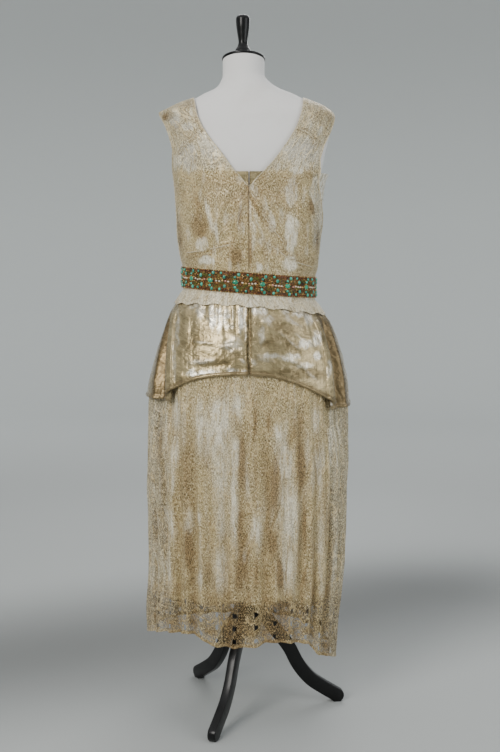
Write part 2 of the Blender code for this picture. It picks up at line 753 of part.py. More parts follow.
def make_belt(finish, parent):
    """A stiff beaded band. Its large oval stones are raised in the outer face over a plain inside."""
    pitch = 360.0 / STONE_COUNT
    half_long = math.degrees(STONE_LONG / 2 / 0.131)
    steps = (-half_long, -half_long * 0.5, half_long * 0.5, half_long, pitch * 0.35, pitch * 0.65)
    heights = (-BELT_HEIGHT / 2, -STONE_TALL / 2, 0.0, STONE_TALL / 2, BELT_HEIGHT / 2)
    face = BELT_CLEARANCE + BELT_WALL
    columns = []
    for stone in range(STONE_COUNT):
        columns += [((stone + 0.5) * pitch + step, abs(step) < half_long * 0.9) for step in steps]
    mesh = bmesh.new()
    outer = []
    for height in heights:
        ring = []
        for angle, on_stone in columns:
            rise = STONE_RISE if on_stone and height == 0.0 else 0.0
            point = cloth_point(BODICE, BODICE_SQUARENESS, angle, WAIST_Z, face + rise)
            ring.append(mesh.verts.new((point.x, point.y, WAIST_Z + height - WAIST_TILT * point.x)))
        outer.append(ring)
    inner = []
    for height in (heights[0], heights[-1]):
        ring = []
        for angle, _ in columns:
            point = cloth_point(BODICE, BODICE_SQUARENESS, angle, WAIST_Z, BELT_CLEARANCE)
            ring.append(mesh.verts.new((point.x, point.y, WAIST_Z + height - WAIST_TILT * point.x)))
        inner.append(ring)
    bands = list(zip(outer, outer[1:]))
    bands += [(outer[-1], inner[1]), (inner[1], inner[0]), (inner[0], outer[0])]
    for low, high in bands:
        for i in range(len(columns)):
            k = (i + 1) % len(columns)
            mesh.faces.new((low[i], low[k], high[k], high[i]))
    place("belt", mesh, finish, parent)


def make_form(finish, parent):
    """Neck, shoulders, bust, waist and hips as one smooth closed body with a flat base."""
    mesh = bmesh.new()
    rings = []
    for index, row in enumerate(FORM):
        tilt = NECK_TILT if index == 0 else NECK_TILT * 0.4 if index == 1 else 0.0
        ring = []
        for i in range(FORM_COLUMNS):
            turn = math.tau * i / FORM_COLUMNS
            y = (row.front if math.sin(turn) > 0 else row.back) * math.sin(turn)
            ring.append(mesh.verts.new((row.lean + row.half * math.cos(turn), y, row.z - tilt * y)))
        rings.append(ring)
    for high, low in zip(rings, rings[1:]):
        for i in range(FORM_COLUMNS):
            k = (i + 1) % FORM_COLUMNS
            mesh.faces.new((low[i], low[k], high[k], high[i]))
    mesh.faces.new(rings[0])
    mesh.faces.new(rings[-1][::-1])
    place("form_torso", mesh, finish, parent)


def make_neck_cap(finish, parent):
    """A thin turned disc on the tilted cut of the neck."""
    mesh = bmesh.new()
    bmesh.ops.create_cone(
        mesh, cap_ends=True, segments=28, radius1=CAP_RADIUS, radius2=CAP_RADIUS, depth=CAP_THICK
    )
    rim = [edge for edge in mesh.edges if len(edge.link_faces) == 2 and edge.calc_face_angle() > 1.0]
    bmesh.ops.bevel(mesh, geom=rim, offset=0.0015, segments=1, affect="EDGES")
    tilt = Matrix.Rotation(-math.atan(NECK_TILT), 4, "X")
    centre = Matrix.Translation((NECK_LEAN, 0.0, NECK_TOP_Z))
    lift = Matrix.Translation((0.0, 0.0, CAP_THICK / 2 + 0.0003))
    bmesh.ops.transform(mesh, matrix=centre @ tilt @ lift, verts=mesh.verts)
    place("neck_cap", mesh, finish, parent)


def turned(name, profile, steps, finish, parent, centre=(0.0, 0.0)):
    """Turns a profile, top first, round an upright axis."""
    mesh = bmesh.new()
    rings = []
    for level in profile:
        ring = []
        for i in range(steps):
            turn = math.tau * i / steps
            x = centre[0] + level.radius * math.cos(turn)
            y = centre[1] + level.radius * math.sin(turn)
            ring.append(mesh.verts.new((x, y, level.height)))
        rings.append(ring)
    for high, low in zip(rings, rings[1:]):
        for i in range(steps):
            k = (i + 1) % steps
            mesh.faces.new((low[i], low[k], high[k], high[i]))
    mesh.faces.new(rings[0])
    mesh.faces.new(rings[-1][::-1])
    return place(name, mesh, finish, parent)


def make_finial(finish, parent):
    """A turned knob: bell foot, slim waist and a widening head with a rounded top."""
    made = turned("finial", FINIAL_PROFILE, 20, finish, parent, (NECK_LEAN - 0.0015, 0.0))
    plane = CAP_THICK / math.cos(math.atan(NECK_TILT)) + 0.0008
    for vertex in made.data.vertices:
        if vertex.co.z < 1.455:
            vertex.co.z = NECK_TOP_Z - NECK_TILT * vertex.co.y + plane


def make_post(finish, parent):
    """The upright under the form and the block that the legs are fixed to."""
    turned("post", POST_PROFILE, 16, finish, parent)


def leg_outline():
    """Both edges of the curved leg in its own upright plane, as (reach, height) pairs."""
    heights = between(LEG_LINE[0].z, LEG_LINE[-1].z, 12)
    line = [Vector((smooth(LEG_LINE, "reach", z), z)) for z in heights]
    upper = []
    lower = []
    for i, point in enumerate(line):
        way = (line[min(i + 1, len(line) - 1)] - line[max(i - 1, 0)]).normalized()
        side = Vector((-way.y, way.x)) * (LEG_WIDTH / 2)
        upper.append(point + side)
        lower.append(point - side)
    way = (line[-1] - line[-2]).normalized()
    side = Vector((-way.y, way.x))
    toe = []
    for turn in (math.radians(45), math.radians(90), math.radians(135)):
        toe.append(line[-1] + LEG_WIDTH / 2 * (side * math.cos(turn) + way * math.sin(turn)))
    outline = []
    for point in upper + toe + lower[::-1]:
        height = point.y if point.y > FOOT_FLAT_Z else 0.0
        outline.append(Vector((max(point.x, HUB_RADIUS + 0.0004), height)))
    return outline


def make_leg(name, angle, finish, parent):
    """A leg sawn from board: its curved outline given the board's thickness."""
    mesh = bmesh.new()
    outline = []
    for point in leg_outline():
        if not outline or (point - outline[-1]).length > 0.0008:
            outline.append(point)
    if (outline[0] - outline[-1]).length < 0.0008:
        outline.pop()
    face = mesh.faces.new([mesh.verts.new((p.x, -LEG_THICK / 2, p.y)) for p in outline])
    grown = bmesh.ops.extrude_face_region(mesh, geom=[face])
    moved = [item for item in grown["geom"] if isinstance(item, bmesh.types.BMVert)]
    bmesh.ops.translate(mesh, verts=moved, vec=(0.0, LEG_THICK, 0.0))
    bmesh.ops.recalc_face_normals(mesh, faces=mesh.faces)
    bmesh.ops.rotate(mesh, verts=mesh.verts, matrix=Matrix.Rotation(math.radians(angle), 3, "Z"))
    place(name, mesh, finish, parent)


def main():
    for leftover in list(bpy.data.objects):
        bpy.data.objects.remove(leftover)
    root = bpy.data.objects.new("stand_axis", None)
    bpy.context.scene.collection.objects.link(root)
    root.location = (0.0, STAND_SHIFT_Y, 0.0)

    lace = material("gold_lace", (0.52, 0.39, 0.20), 0.45, 0.3)
    satin = material("ivory_satin", (0.78, 0.70, 0.55), 0.28)
    beads = material("copper_beads", (0.34, 0.14, 0.04), 0.35, 0.4)
    linen = material("white_form_cover", (0.72, 0.71, 0.70), 0.75)
    black = material("black_lacquer", (0.01, 0.01, 0.01), 0.22)

    make_form(linen, root)
    make_neck_cap(black, root)
    make_finial(black, root)
    make_post(black, root)
    for name, angle in LEG_ANGLES.items():
        make_leg(name, angle, black, root)
    make_slip_top("slip_front", 0.0, 180.0, 20, satin, root)
    make_slip_top("slip_back_left", 180.0, 270.0, 10, satin, root, 0.003)
    make_slip_top("slip_back_right", 270.0, 360.0, 10, satin, root, 0.003)
    make_slip_skirt("slip_skirt_front", 0.0, 180.0, satin, root)
    make_slip_skirt("slip_skirt_back", 180.0, 360.0, satin, root)
    make_bodice_front(lace, root)
    make_bodice_back("left", lace, root)
    make_bodice_back("right", lace, root)
    make_belt(beads, root)
    make_peplum_back("left", satin, root)
    make_peplum_back("right", satin, root)
    make_peplum_front(satin, root)
    make_lace_skirt("lace_skirt_back", BACK_FOLDS, 180.0, 360.0, lace, root)
    make_lace_skirt("lace_skirt_front", FRONT_FOLDS, 0.0, 180.0, lace, root)


main()
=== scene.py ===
"""Looks of a robe de style of gold lace over ivory satin, on a dress form with a tripod stand.

Metres, +Z up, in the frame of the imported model. The back of the dress faces -Y and its left side is at -X.
Angles run counter-clockwise seen from above: 0 is +X, 90 the wearer's front, 270 the centre back.
"""

import math
from collections import namedtuple

import bpy
import numpy as np
from bpy.props import FloatProperty, FloatVectorProperty, PointerProperty
from mathutils import Matrix, Vector


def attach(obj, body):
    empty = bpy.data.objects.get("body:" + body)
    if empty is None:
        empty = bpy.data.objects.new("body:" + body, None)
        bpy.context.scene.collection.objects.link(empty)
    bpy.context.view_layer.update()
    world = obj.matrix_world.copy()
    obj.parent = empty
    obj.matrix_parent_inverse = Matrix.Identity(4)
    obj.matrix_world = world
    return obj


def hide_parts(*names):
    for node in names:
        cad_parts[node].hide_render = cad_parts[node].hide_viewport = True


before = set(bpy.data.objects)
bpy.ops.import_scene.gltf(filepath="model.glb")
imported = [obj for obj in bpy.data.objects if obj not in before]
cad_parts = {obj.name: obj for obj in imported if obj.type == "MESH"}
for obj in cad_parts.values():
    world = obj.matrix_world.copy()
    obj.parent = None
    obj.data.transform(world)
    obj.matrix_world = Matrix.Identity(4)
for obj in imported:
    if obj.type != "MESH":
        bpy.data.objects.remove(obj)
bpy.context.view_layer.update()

bl_info = {
    "name": "Robe de style",
    "version": (1, 0, 0),
    "blender": (4, 5, 0),
    "location": "View3D > Sidebar > Robe",
    "description": "Builds the lace, satin, beads and stand of a robe de style on its dress form",
    "category": "Add Mesh",
}

# Driving dimensions
STAND_SHIFT_Y = 0.008
LAYER = 0.0026
NECKLINE_POINT_Z = 1.171
SLIP_TOP_Z = 1.201
WAIST_Z = 0.968
WAIST_TILT = 0.078
BELT_HEIGHT = 0.046
BELT_WALL = 0.0020
STONE_COUNT = 16
STONE_LONG = 0.012
STONE_TALL = 0.010
PEPLUM_TOP_Z = 0.956
SKIRT_TOP_Z = 0.960
SLIP_SKIRT_TOP_Z = 0.962
SLIP_SKIRT_HEM_Z = 0.290
HIP_SQUARENESS = 2.25
BODICE_SQUARENESS = 2.0
LACE_HOLE_WIDE = 0.0060
LACE_HOLE_TALL = 0.0110
BELT_CLEARANCE = 0.0010
PLEAT_DEPTH = 0.017
TUCK_DEPTH = 0.0033
NECK_TILT = 0.21
NECK_TOP_Z = 1.443
CAP_RADIUS = 0.0465
CAP_THICK = 0.0065
NECK_LEAN = -0.0115
POST_RADIUS = 0.0125
HUB_RADIUS = 0.027
LEG_THICK = 0.018
LEG_WIDTH = 0.031
FOOT_FLAT_Z = 0.0025
EASED_EDGE = 0.0022
LEG_ANGLES = {"leg_front": 248.6, "leg_back_left": 126.4, "leg_right": 6.4}

Ring = namedtuple("Ring", "z left right back front")
FormRing = namedtuple("FormRing", "z half back front lean")
Edge = namedtuple("Edge", "z left right")
Fold = namedtuple("Fold", "angle depth")
HemPoint = namedtuple("HemPoint", "angle height")
LegPoint = namedtuple("LegPoint", "z reach")
Turn = namedtuple("Turn", "radius height")
Crease = namedtuple("Crease", "x0 z0 x1 z1 width height")
Spot = namedtuple("Spot", "x z wide tall share")
PathPoint = namedtuple("PathPoint", "x z")
Place = namedtuple("Place", "x y z u v along beside above below")
Cut = namedtuple("Cut", "width length area held")
BeadPlace = namedtuple("BeadPlace", "along up long tall")
Bead = namedtuple("Bead", "angle height long tall deep rise tint")


def rows_of(kind, *rows):
    """A table whose rows all have the named columns of one kind."""
    return tuple(kind(*row) for row in rows)


# Outer face of the lace bodice, level by level from the shoulder point to its lower edge
BODICE = rows_of(
    Ring,
    (1.366, 0.118, 0.117, 0.064, 0.058), (1.357, 0.143, 0.14, 0.0685, 0.064),
    (1.349, 0.162, 0.159, 0.073, 0.07), (1.341, 0.179, 0.172, 0.078, 0.076),
    (1.333, 0.194, 0.181, 0.082, 0.082), (1.318, 0.191, 0.187, 0.087, 0.088),
    (1.292, 0.184, 0.184, 0.0955, 0.098), (1.256, 0.175, 0.176, 0.105, 0.11),
    (1.205, 0.166, 0.177, 0.1105, 0.123), (1.183, 0.163, 0.17, 0.111, 0.126),
    (1.144, 0.16, 0.165, 0.1115, 0.126), (1.105, 0.158, 0.162, 0.112, 0.123),
    (1.07, 0.157, 0.157, 0.112, 0.119), (1.039, 0.154, 0.153, 0.1125, 0.115),
    (1.01, 0.15, 0.15, 0.113, 0.111), (0.992, 0.1452, 0.1452, 0.1127, 0.1094),
    (0.968, 0.145, 0.145, 0.1125, 0.1092), (0.943, 0.1452, 0.1452, 0.1128, 0.1095),
    (0.93, 0.1528, 0.1558, 0.1169, 0.1134), (0.911, 0.1648, 0.1688, 0.1223, 0.1188),
    (0.9, 0.1719, 0.1759, 0.1258, 0.1223),
)

# Outer face of the satin peplum
PEPLUM = rows_of(
    Ring,
    (0.968, 0.1422, 0.1422, 0.1097, 0.1064), (0.943, 0.1424, 0.1424, 0.11, 0.1067),
    (0.93, 0.1491, 0.152, 0.1132, 0.1097), (0.911, 0.1606, 0.1646, 0.1181, 0.1146),
    (0.89, 0.175, 0.178, 0.126, 0.122), (0.844, 0.194, 0.194, 0.137, 0.135),
    (0.791, 0.21, 0.21, 0.144, 0.147), (0.74, 0.223, 0.22, 0.149, 0.156),
    (0.68, 0.23, 0.225, 0.152, 0.163),
)

# Crests of the lace skirt's folds
SKIRT = rows_of(
    Ring,
    (0.968, 0.1394, 0.1394, 0.1069, 0.1036), (0.943, 0.1394, 0.1394, 0.107, 0.1037),
    (0.93, 0.1448, 0.1473, 0.1092, 0.1057), (0.911, 0.1565, 0.16, 0.1145, 0.111),
    (0.89, 0.1695, 0.1725, 0.1215, 0.1175), (0.844, 0.1885, 0.1885, 0.132, 0.13),
    (0.791, 0.2045, 0.2045, 0.139, 0.142), (0.74, 0.2175, 0.2145, 0.144, 0.151),
    (0.7, 0.2235, 0.219, 0.147, 0.157), (0.592, 0.225, 0.221, 0.149, 0.163),
    (0.512, 0.2275, 0.219, 0.15, 0.166), (0.432, 0.226, 0.218, 0.151, 0.168),
    (0.341, 0.2265, 0.215, 0.152, 0.17), (0.272, 0.229, 0.209, 0.153, 0.171),
    (0.19, 0.231, 0.201, 0.153, 0.172), (0.1, 0.231, 0.197, 0.153, 0.172),
)

# Crests of the satin slip's skirt, which hangs inside the lace skirt
SLIP_SKIRT = rows_of(
    Ring,
    (0.968, 0.136, 0.136, 0.1035, 0.1002), (0.943, 0.1358, 0.1358, 0.1035, 0.1001),
    (0.93, 0.1392, 0.1412, 0.1048, 0.1013), (0.885, 0.158, 0.159, 0.112, 0.108),
    (0.85, 0.17, 0.169, 0.118, 0.116), (0.79, 0.184, 0.183, 0.1225, 0.125),
    (0.7, 0.196, 0.193, 0.126, 0.136), (0.5, 0.206, 0.196, 0.131, 0.145),
    (0.28, 0.209, 0.187, 0.133, 0.15),
)

# Outer face of the dress form, from the cut of the neck to the flat base
FORM = rows_of(
    FormRing,
    (1.443, 0.045, 0.045, 0.043, NECK_LEAN), (1.413, 0.045, 0.046, 0.0435, NECK_LEAN),
    (1.397, 0.054, 0.05, 0.046, -0.008), (1.384, 0.07, 0.054, 0.049, -0.0035),
    (1.372, 0.099, 0.058, 0.053, -0.001), (1.3636, 0.1145, 0.061, 0.0555, 0.0),
    (1.3546, 0.1375, 0.0655, 0.0615, 0.0), (1.3466, 0.1565, 0.07, 0.067, 0.0),
    (1.3386, 0.1695, 0.0745, 0.0725, 0.0), (1.33, 0.176, 0.078, 0.078, 0.0),
    (1.318, 0.1785, 0.0825, 0.0835, 0.0), (1.29, 0.1755, 0.09, 0.092, 0.0),
    (1.25, 0.166, 0.1, 0.106, 0.0), (1.2, 0.157, 0.104, 0.1175, 0.0),
    (1.14, 0.149, 0.103, 0.1195, 0.0), (1.06, 0.14, 0.099, 0.11, 0.0),
    (0.98, 0.132, 0.097, 0.097, 0.0), (0.92, 0.134, 0.099, 0.097, 0.0),
    (0.86, 0.148, 0.108, 0.106, 0.0), (0.8, 0.156, 0.113, 0.111, 0.0),
    (0.75, 0.154, 0.111, 0.109, 0.0),
)

# Distance from the centre line to the back neckline, and to the front one
BACK_NECKLINE = rows_of(
    Edge,
    (1.362, 0.118, 0.1165), (1.343, 0.1135, 0.114), (1.325, 0.11, 0.11),
    (1.298, 0.099, 0.101), (1.27, 0.081, 0.085), (1.237, 0.055, 0.062),
    (1.209, 0.035, 0.038), (1.19, 0.018, 0.019), (NECKLINE_POINT_Z, 0.003, 0.003),
)
FRONT_NECKLINE = rows_of(
    Edge,
    (1.362, 0.118, 0.1165), (1.343, 0.115, 0.114), (1.32, 0.107, 0.107),
    (1.295, 0.095, 0.095), (1.27, 0.074, 0.074), (1.25, 0.048, 0.048),
)

# Angle from the nearer end of the ring, left or right, at which the armhole cuts it
ARMHOLE = rows_of(
    Edge,
    (1.333, 0.0, 0.0), (1.318, 11.0, 10.0), (1.292, 18.0, 17.0),
    (1.256, 20.0, 25.0), (1.225, 12.0, 31.0), (1.195, 0.0, 30.0),
    (1.144, 0.0, 20.0), (1.105, 0.0, 9.0), (1.075, 0.0, 0.0),
)

# Side edges of the peplum's back panels, as angles
PEPLUM_EDGE = rows_of(
    Edge,
    (0.956, 188.0, 329.0), (0.9, 194.0, 329.0), (0.84, 207.0, 328.0),
    (0.79, 213.0, 327.0), (0.735, 219.0, 325.0), (0.69, 221.0, 325.0),
)

# Valleys of the lace skirt's folds, each with its depth at the hem
BACK_FOLDS = rows_of(
    Fold,
    (193.0, 0.008), (205.0, 0.01), (217.5, 0.012), (230.0, 0.009), (241.0, 0.011),
    (250.5, 0.008), (259.5, 0.013), (268.0, 0.009), (278.0, 0.013), (288.5, 0.008),
    (299.0, 0.012), (311.0, 0.01), (324.0, 0.012), (337.0, 0.009), (348.0, 0.007),
)
FRONT_FOLDS = rows_of(
    Fold,
    (14.0, 0.009), (25.0, 0.012), (36.5, 0.009), (49.0, 0.011), (60.0, 0.008),
    (71.5, 0.012), (82.0, 0.009), (93.0, 0.012), (103.5, 0.008), (115.0, 0.011),
    (127.0, 0.009), (140.0, 0.012), (153.0, 0.009), (165.0, 0.01),
)

# Height of the lace skirt's hem at each angle
HEM_LINE = rows_of(
    HemPoint,
    (0.0, 0.116), (25.0, 0.13), (60.0, 0.158), (90.0, 0.162), (130.0, 0.168),
    (180.0, 0.178), (205.0, 0.198), (238.0, 0.212), (246.0, 0.204), (252.0, 0.19),
    (264.0, 0.187), (274.0, 0.19), (281.0, 0.199), (298.0, 0.193), (308.5, 0.187),
    (312.5, 0.176), (316.0, 0.16), (322.0, 0.152), (332.0, 0.144), (345.0, 0.13),
    (360.0, 0.116),
)

# Centre line of a leg in its own upright plane
LEG_LINE = rows_of(
    LegPoint,
    (0.24, 0.014), (0.217, 0.03), (0.193, 0.048), (0.136, 0.091), (0.095, 0.112),
    (0.058, 0.141), (0.033, 0.176), (0.015, 0.205),
)

# Profiles of the turned pieces, top first
FINIAL_PROFILE = rows_of(
    Turn,
    (0.0085, 1.539), (0.013, 1.5365), (0.015, 1.531), (0.0146, 1.52),
    (0.012, 1.5), (0.0096, 1.482), (0.0112, 1.475), (0.0165, 1.465),
    (0.0172, 1.46), (0.0172, 1.45),
)
POST_PROFILE = rows_of(
    Turn,
    (POST_RADIUS * 2.2, 0.7494), (POST_RADIUS * 2.2, 0.74), (POST_RADIUS, 0.734), (POST_RADIUS, 0.272),
    (HUB_RADIUS, 0.26), (HUB_RADIUS, 0.175), (HUB_RADIUS * 0.8, 0.168),
)

# Cloth here is thinner than its solid, and what lies on it follows its outer face
THIN_WALL = 0.0007
SATIN_THIN = 0.0008
BAND_THIN = 0.0011
SEAM_TURN = 0.2
WELD = 0.00002
GRIDS = {
    "slip_top_front": (120, 50),
    "slip_top_left": (60, 50),
    "slip_top_right": (60, 50),
    "slip_skirt_fore": (110, 52),
    "slip_skirt_rear": (110, 52),
    "lace_back_left": (96, 130),
    "lace_back_right": (96, 130),
    "lace_front": (200, 100),
    "skirt_rear": (250, 132),
    "skirt_fore": (250, 132),
    "peplum_panel_left": (140, 110),
    "peplum_panel_right": (140, 110),
    "peplum_front_and_sides": (276, 96),
    "belt_band": (300, 12),
    "form_cover": (120, 150),
}
SHOULDER_TOP_Z = 1.362
CORD_TOP_Z = 1.361
CORD_LOW_Z = 0.99
ARMHOLE_TOP_Z = 1.333
BODICE_HEM_LEVEL = 0.96
SLIP_TOP_LOW_Z = 0.967
SLIP_GAPE = 0.0008
PEPLUM_HEM_LEVEL = 0.75
PLEAT_START_TURN = -15.0
PLEAT_DEEP_TURN = 7.5
PLEAT_END_TURN = 16.0
HOLLOW_TOP_Z = 0.925
PEPLUM_HIP_Z = 0.905
PEPLUM_FLAT_Z = 0.935
GATHER_TOP_Z = 0.948
SIDE_TURN = 27.0
SIDE_SHARE = 0.2
STRIP_SHARE = 0.3
STRIP_TURN_SHARE = 0.18
FRONT_SCOOP_Z = 1.250
FRONT_SCOOP_ANGLE = 72.5
STRAP_SHARE = 0.4
SCOOP_SHARE = 0.75
HEM_ROLL_TALL = 0.008
HEM_ROLL_OUT = 0.0028
HEM_ROLL_SHARE = 0.1
SKIRT_BAND = 0.092
SKIRT_BAND_SHARE = 0.25
HOLE_RISES = (0.015, 0.044, 0.072)
HEM_RADIUS = 0.19
HOLE_CUT = 0.70
HOLE_PULL = 1.30
FOLD_TURN = 2.9
DEEPEST_FOLD = 0.012
SEED_PITCH = 0.0028
SEED_SIZE = 0.0027
SEED_COLUMNS = 300
BELT_REACH = 0.135
STONE_DEEP = 0.0058
RING_BEADS = 16
RING_BEAD = 0.0019
RING_CLEAR = 0.0008
BIG_BEAD_DEEP = 0.0042
CRYSTAL_STEPS = (-0.0125, -0.0060, 0.0005, 0.0065, 0.0125)
STAGE_FLAT = 4.5
STAGE_BEND = 1.5
STAGE_TALL = 5.0
STAGE_STEPS = 12
SHADE_PLACE = 0.62
SHADE_REACH = 0.75
SHADE_DEPTH = 0.54
CORD_RADIUS = 0.0011
CORD_SIDES = 6
CORD_TWIST = 0.0045
CORD_SWELL = 0.25
CORD_LIT = 0.45
CORD_STEP = 0.002
CAMERA_PLACE = (0.00225, -2.442, 1.03)
CAMERA_DIP = 6.3
CAMERA_LENS = 53.04
CAMERA_SENSOR = 36.0
CAMERA_FAR = 60.0
KEY_POWER = 72.0
FILL_POWER = 24.0
REAR_POWER = 35.0
SKY_STRENGTH = 0.94

# Folds of the lace below the centre back point, as lines in the back view: x and z in metres
BODICE_BACK_CREASES = rows_of(
    Crease,
    (0.001, 1.152, 0.036, 1.08, 0.0032, -0.0011), (0.006, 1.155, 0.046, 1.088, 0.006, 0.0024),
    (0.001, 1.14, 0.023, 1.06, 0.005, 0.0022), (0.006, 1.085, 0.007, 0.996, 0.004, 0.003),
    (-0.004, 1.13, -0.005, 0.996, 0.0042, 0.0034), (-0.0015, 1.1, 0.001, 0.996, 0.0022, -0.0012),
    (-0.018, 1.128, -0.02, 1.078, 0.003, -0.0011), (-0.012, 1.15, -0.014, 1.05, 0.0045, 0.0026),
    (-0.026, 1.135, -0.029, 1.04, 0.005, 0.0022), (-0.008, 1.158, -0.056, 1.112, 0.007, 0.0018),
    (-0.011, 1.15, -0.048, 1.07, 0.006, 0.0016), (0.016, 1.15, 0.062, 1.12, 0.007, 0.0014),
    (0.02, 1.08, 0.034, 1.0, 0.006, 0.0018), (0.038, 1.09, 0.062, 1.0, 0.007, 0.0014),
    (-0.034, 1.06, -0.042, 0.996, 0.006, 0.0016), (-0.07, 1.12, -0.056, 1.04, 0.006, 0.0012),
    (-0.101, 1.2, -0.086, 1.1, 0.008, 0.0014), (-0.12, 1.16, -0.123, 1.01, 0.007, 0.0012),
    (0.086, 1.15, 0.09, 1.03, 0.009, 0.0014), (0.116, 1.19, 0.13, 1.12, 0.006, 0.002),
    (0.125, 1.14, 0.136, 1.1, 0.004, -0.0008), (-0.15, 1.26, -0.144, 1.14, 0.006, 0.0016),
    (0.14, 1.29, 0.146, 1.21, 0.006, 0.0018),
)

# The front can't be seen: a few long soft folds hang from the shoulders and gather at the waist
BODICE_FRONT_CREASES = rows_of(
    Crease,
    (-0.112, 1.24, -0.084, 1.0, 0.01, 0.002), (-0.064, 1.18, -0.05, 0.996, 0.007, 0.0022),
    (-0.024, 1.12, -0.02, 0.996, 0.006, 0.0018), (0.006, 1.16, 0.004, 0.996, 0.006, 0.0022),
    (0.034, 1.1, 0.028, 0.996, 0.005, 0.0018), (0.074, 1.19, 0.056, 0.996, 0.008, 0.0022),
    (0.116, 1.23, 0.088, 1.01, 0.01, 0.0018), (-0.134, 1.1, -0.122, 1.0, 0.007, 0.0014),
    (0.136, 1.09, 0.124, 1.0, 0.007, 0.0014),
)

# Turquoise beads round each stone, and round the place halfway to the next
STONE_BEADS = rows_of(
    BeadPlace,
    (0.0, 0.0105, 0.0062, 0.0058), (0.0068, 0.0165, 0.0072, 0.0082), (-0.001, -0.0106, 0.0062, 0.0058),
    (0.004, -0.0168, 0.0072, 0.008),
)
HALFWAY_BEADS = rows_of(
    BeadPlace,
    (0.0037, 0.0092, 0.0068, 0.0084), (-0.003, 0.0172, 0.0056, 0.0056), (0.0045, -0.01, 0.0066, 0.0082),
    (-0.0052, -0.0168, 0.0056, 0.0064),
)

# Where the lace is thin enough for the form to show
SHEER_SPOTS = rows_of(
    Spot,
    (-0.158, 1.312, 0.013, 0.022, 0.8), (-0.127, 1.297, 0.013, 0.009, 0.8),
    (-0.131, 1.237, 0.019, 0.028, 1.0), (-0.078, 1.25, 0.03, 0.026, 0.8), (0.108, 1.245, 0.042, 0.03, 0.8),
    (0.148, 1.288, 0.006, 0.014, 0.8), (-0.156, 1.06, 0.007, 0.07, 0.6),
)

# Where the lace lies flat on lit satin and looks pale, as spots and as lines
BODICE_LIT_SPOTS = rows_of(
    Spot,
    (0.089, 1.158, 0.012, 0.029, 0.95), (0.089, 1.072, 0.012, 0.04, 0.95),
    (-0.099, 1.051, 0.012, 0.014, 0.8), (-0.091, 1.016, 0.017, 0.01, 0.8),
    (0.087, 1.01, 0.015, 0.017, 0.75), (0.047, 1.091, 0.0085, 0.017, 0.6),
    (0.021, 1.003, 0.005, 0.012, 0.6), (0.141, 1.164, 0.0085, 0.025, 0.8),
    (0.101, 1.204, 0.0125, 0.008, 0.7), (0.15, 1.291, 0.005, 0.01, 0.9),
    (-0.158, 1.318, 0.0125, 0.017, 0.5), (-0.127, 1.297, 0.0125, 0.008, 0.8),
    (-0.131, 1.237, 0.019, 0.027, 0.7), (-0.078, 1.254, 0.029, 0.025, 0.4),
    (0.108, 1.245, 0.042, 0.029, 0.4), (0.011, 1.083, 0.005, 0.015, 0.5),
    (-0.019, 1.183, 0.0085, 0.008, 0.3), (0.156, 1.116, 0.004, 0.046, 0.9),
    (0.163, 1.189, 0.0065, 0.009, 1.0),
)
BODICE_LIT_LINES = rows_of(
    Crease,
    (-0.093, 1.147, -0.076, 1.074, 0.0038, 0.9), (-0.072, 1.103, -0.065, 1.049, 0.0032, 0.7),
    (0.002, 1.149, 0.004, 1.074, 0.0021, 0.5), (-0.013, 1.162, -0.023, 1.078, 0.0025, 0.5),
    (0.028, 1.149, 0.055, 1.095, 0.0029, 0.4), (0.006, 1.131, 0.04, 1.037, 0.0029, 0.4),
)

# Browned stains, and painted shade in the depths of the folds
BODICE_BROWN_SPOTS = rows_of(
    Spot,
    (-0.105, 1.092, 0.021, 0.027, 0.8), (-0.174, 1.322, 0.012, 0.01, 0.6),
    (0.131, 1.128, 0.008, 0.016, 0.5), (-0.122, 1.345, 0.02, 0.01, 0.4), (0.172, 1.318, 0.01, 0.012, 0.4),
    (-0.11, 1.32, 0.005, 0.02, 0.4),
)
BODICE_FOLD_SHADE_LINES = rows_of(
    Crease,
    (-0.018, 1.131, -0.02, 1.083, 0.0034, 0.9), (0.0, 1.158, 0.035, 1.083, 0.0023, 0.9),
    (-0.002, 1.158, -0.001, 1.074, 0.0017, 0.8), (0.001, 1.074, 0.003, 0.999, 0.0042, 0.95),
    (-0.027, 1.049, -0.032, 0.999, 0.0095, 0.75), (-0.019, 1.049, -0.019, 0.999, 0.005, 0.6),
    (0.131, 1.149, 0.139, 1.108, 0.0038, 0.9), (-0.12, 1.162, -0.103, 1.116, 0.0063, 0.5),
    (-0.152, 1.116, -0.145, 1.02, 0.0055, 0.6), (-0.004, 1.156, -0.044, 1.012, 0.0017, 0.5),
    (-0.006, 1.162, -0.074, 1.047, 0.0017, 0.4), (-0.004, 1.187, -0.002, 1.158, 0.0029, 0.9),
    (-0.186, 1.327, -0.175, 1.316, 0.0052, 0.8), (0.146, 1.099, 0.15, 1.012, 0.0034, 0.5),
    (0.103, 1.131, 0.129, 1.037, 0.0029, 0.3),
)

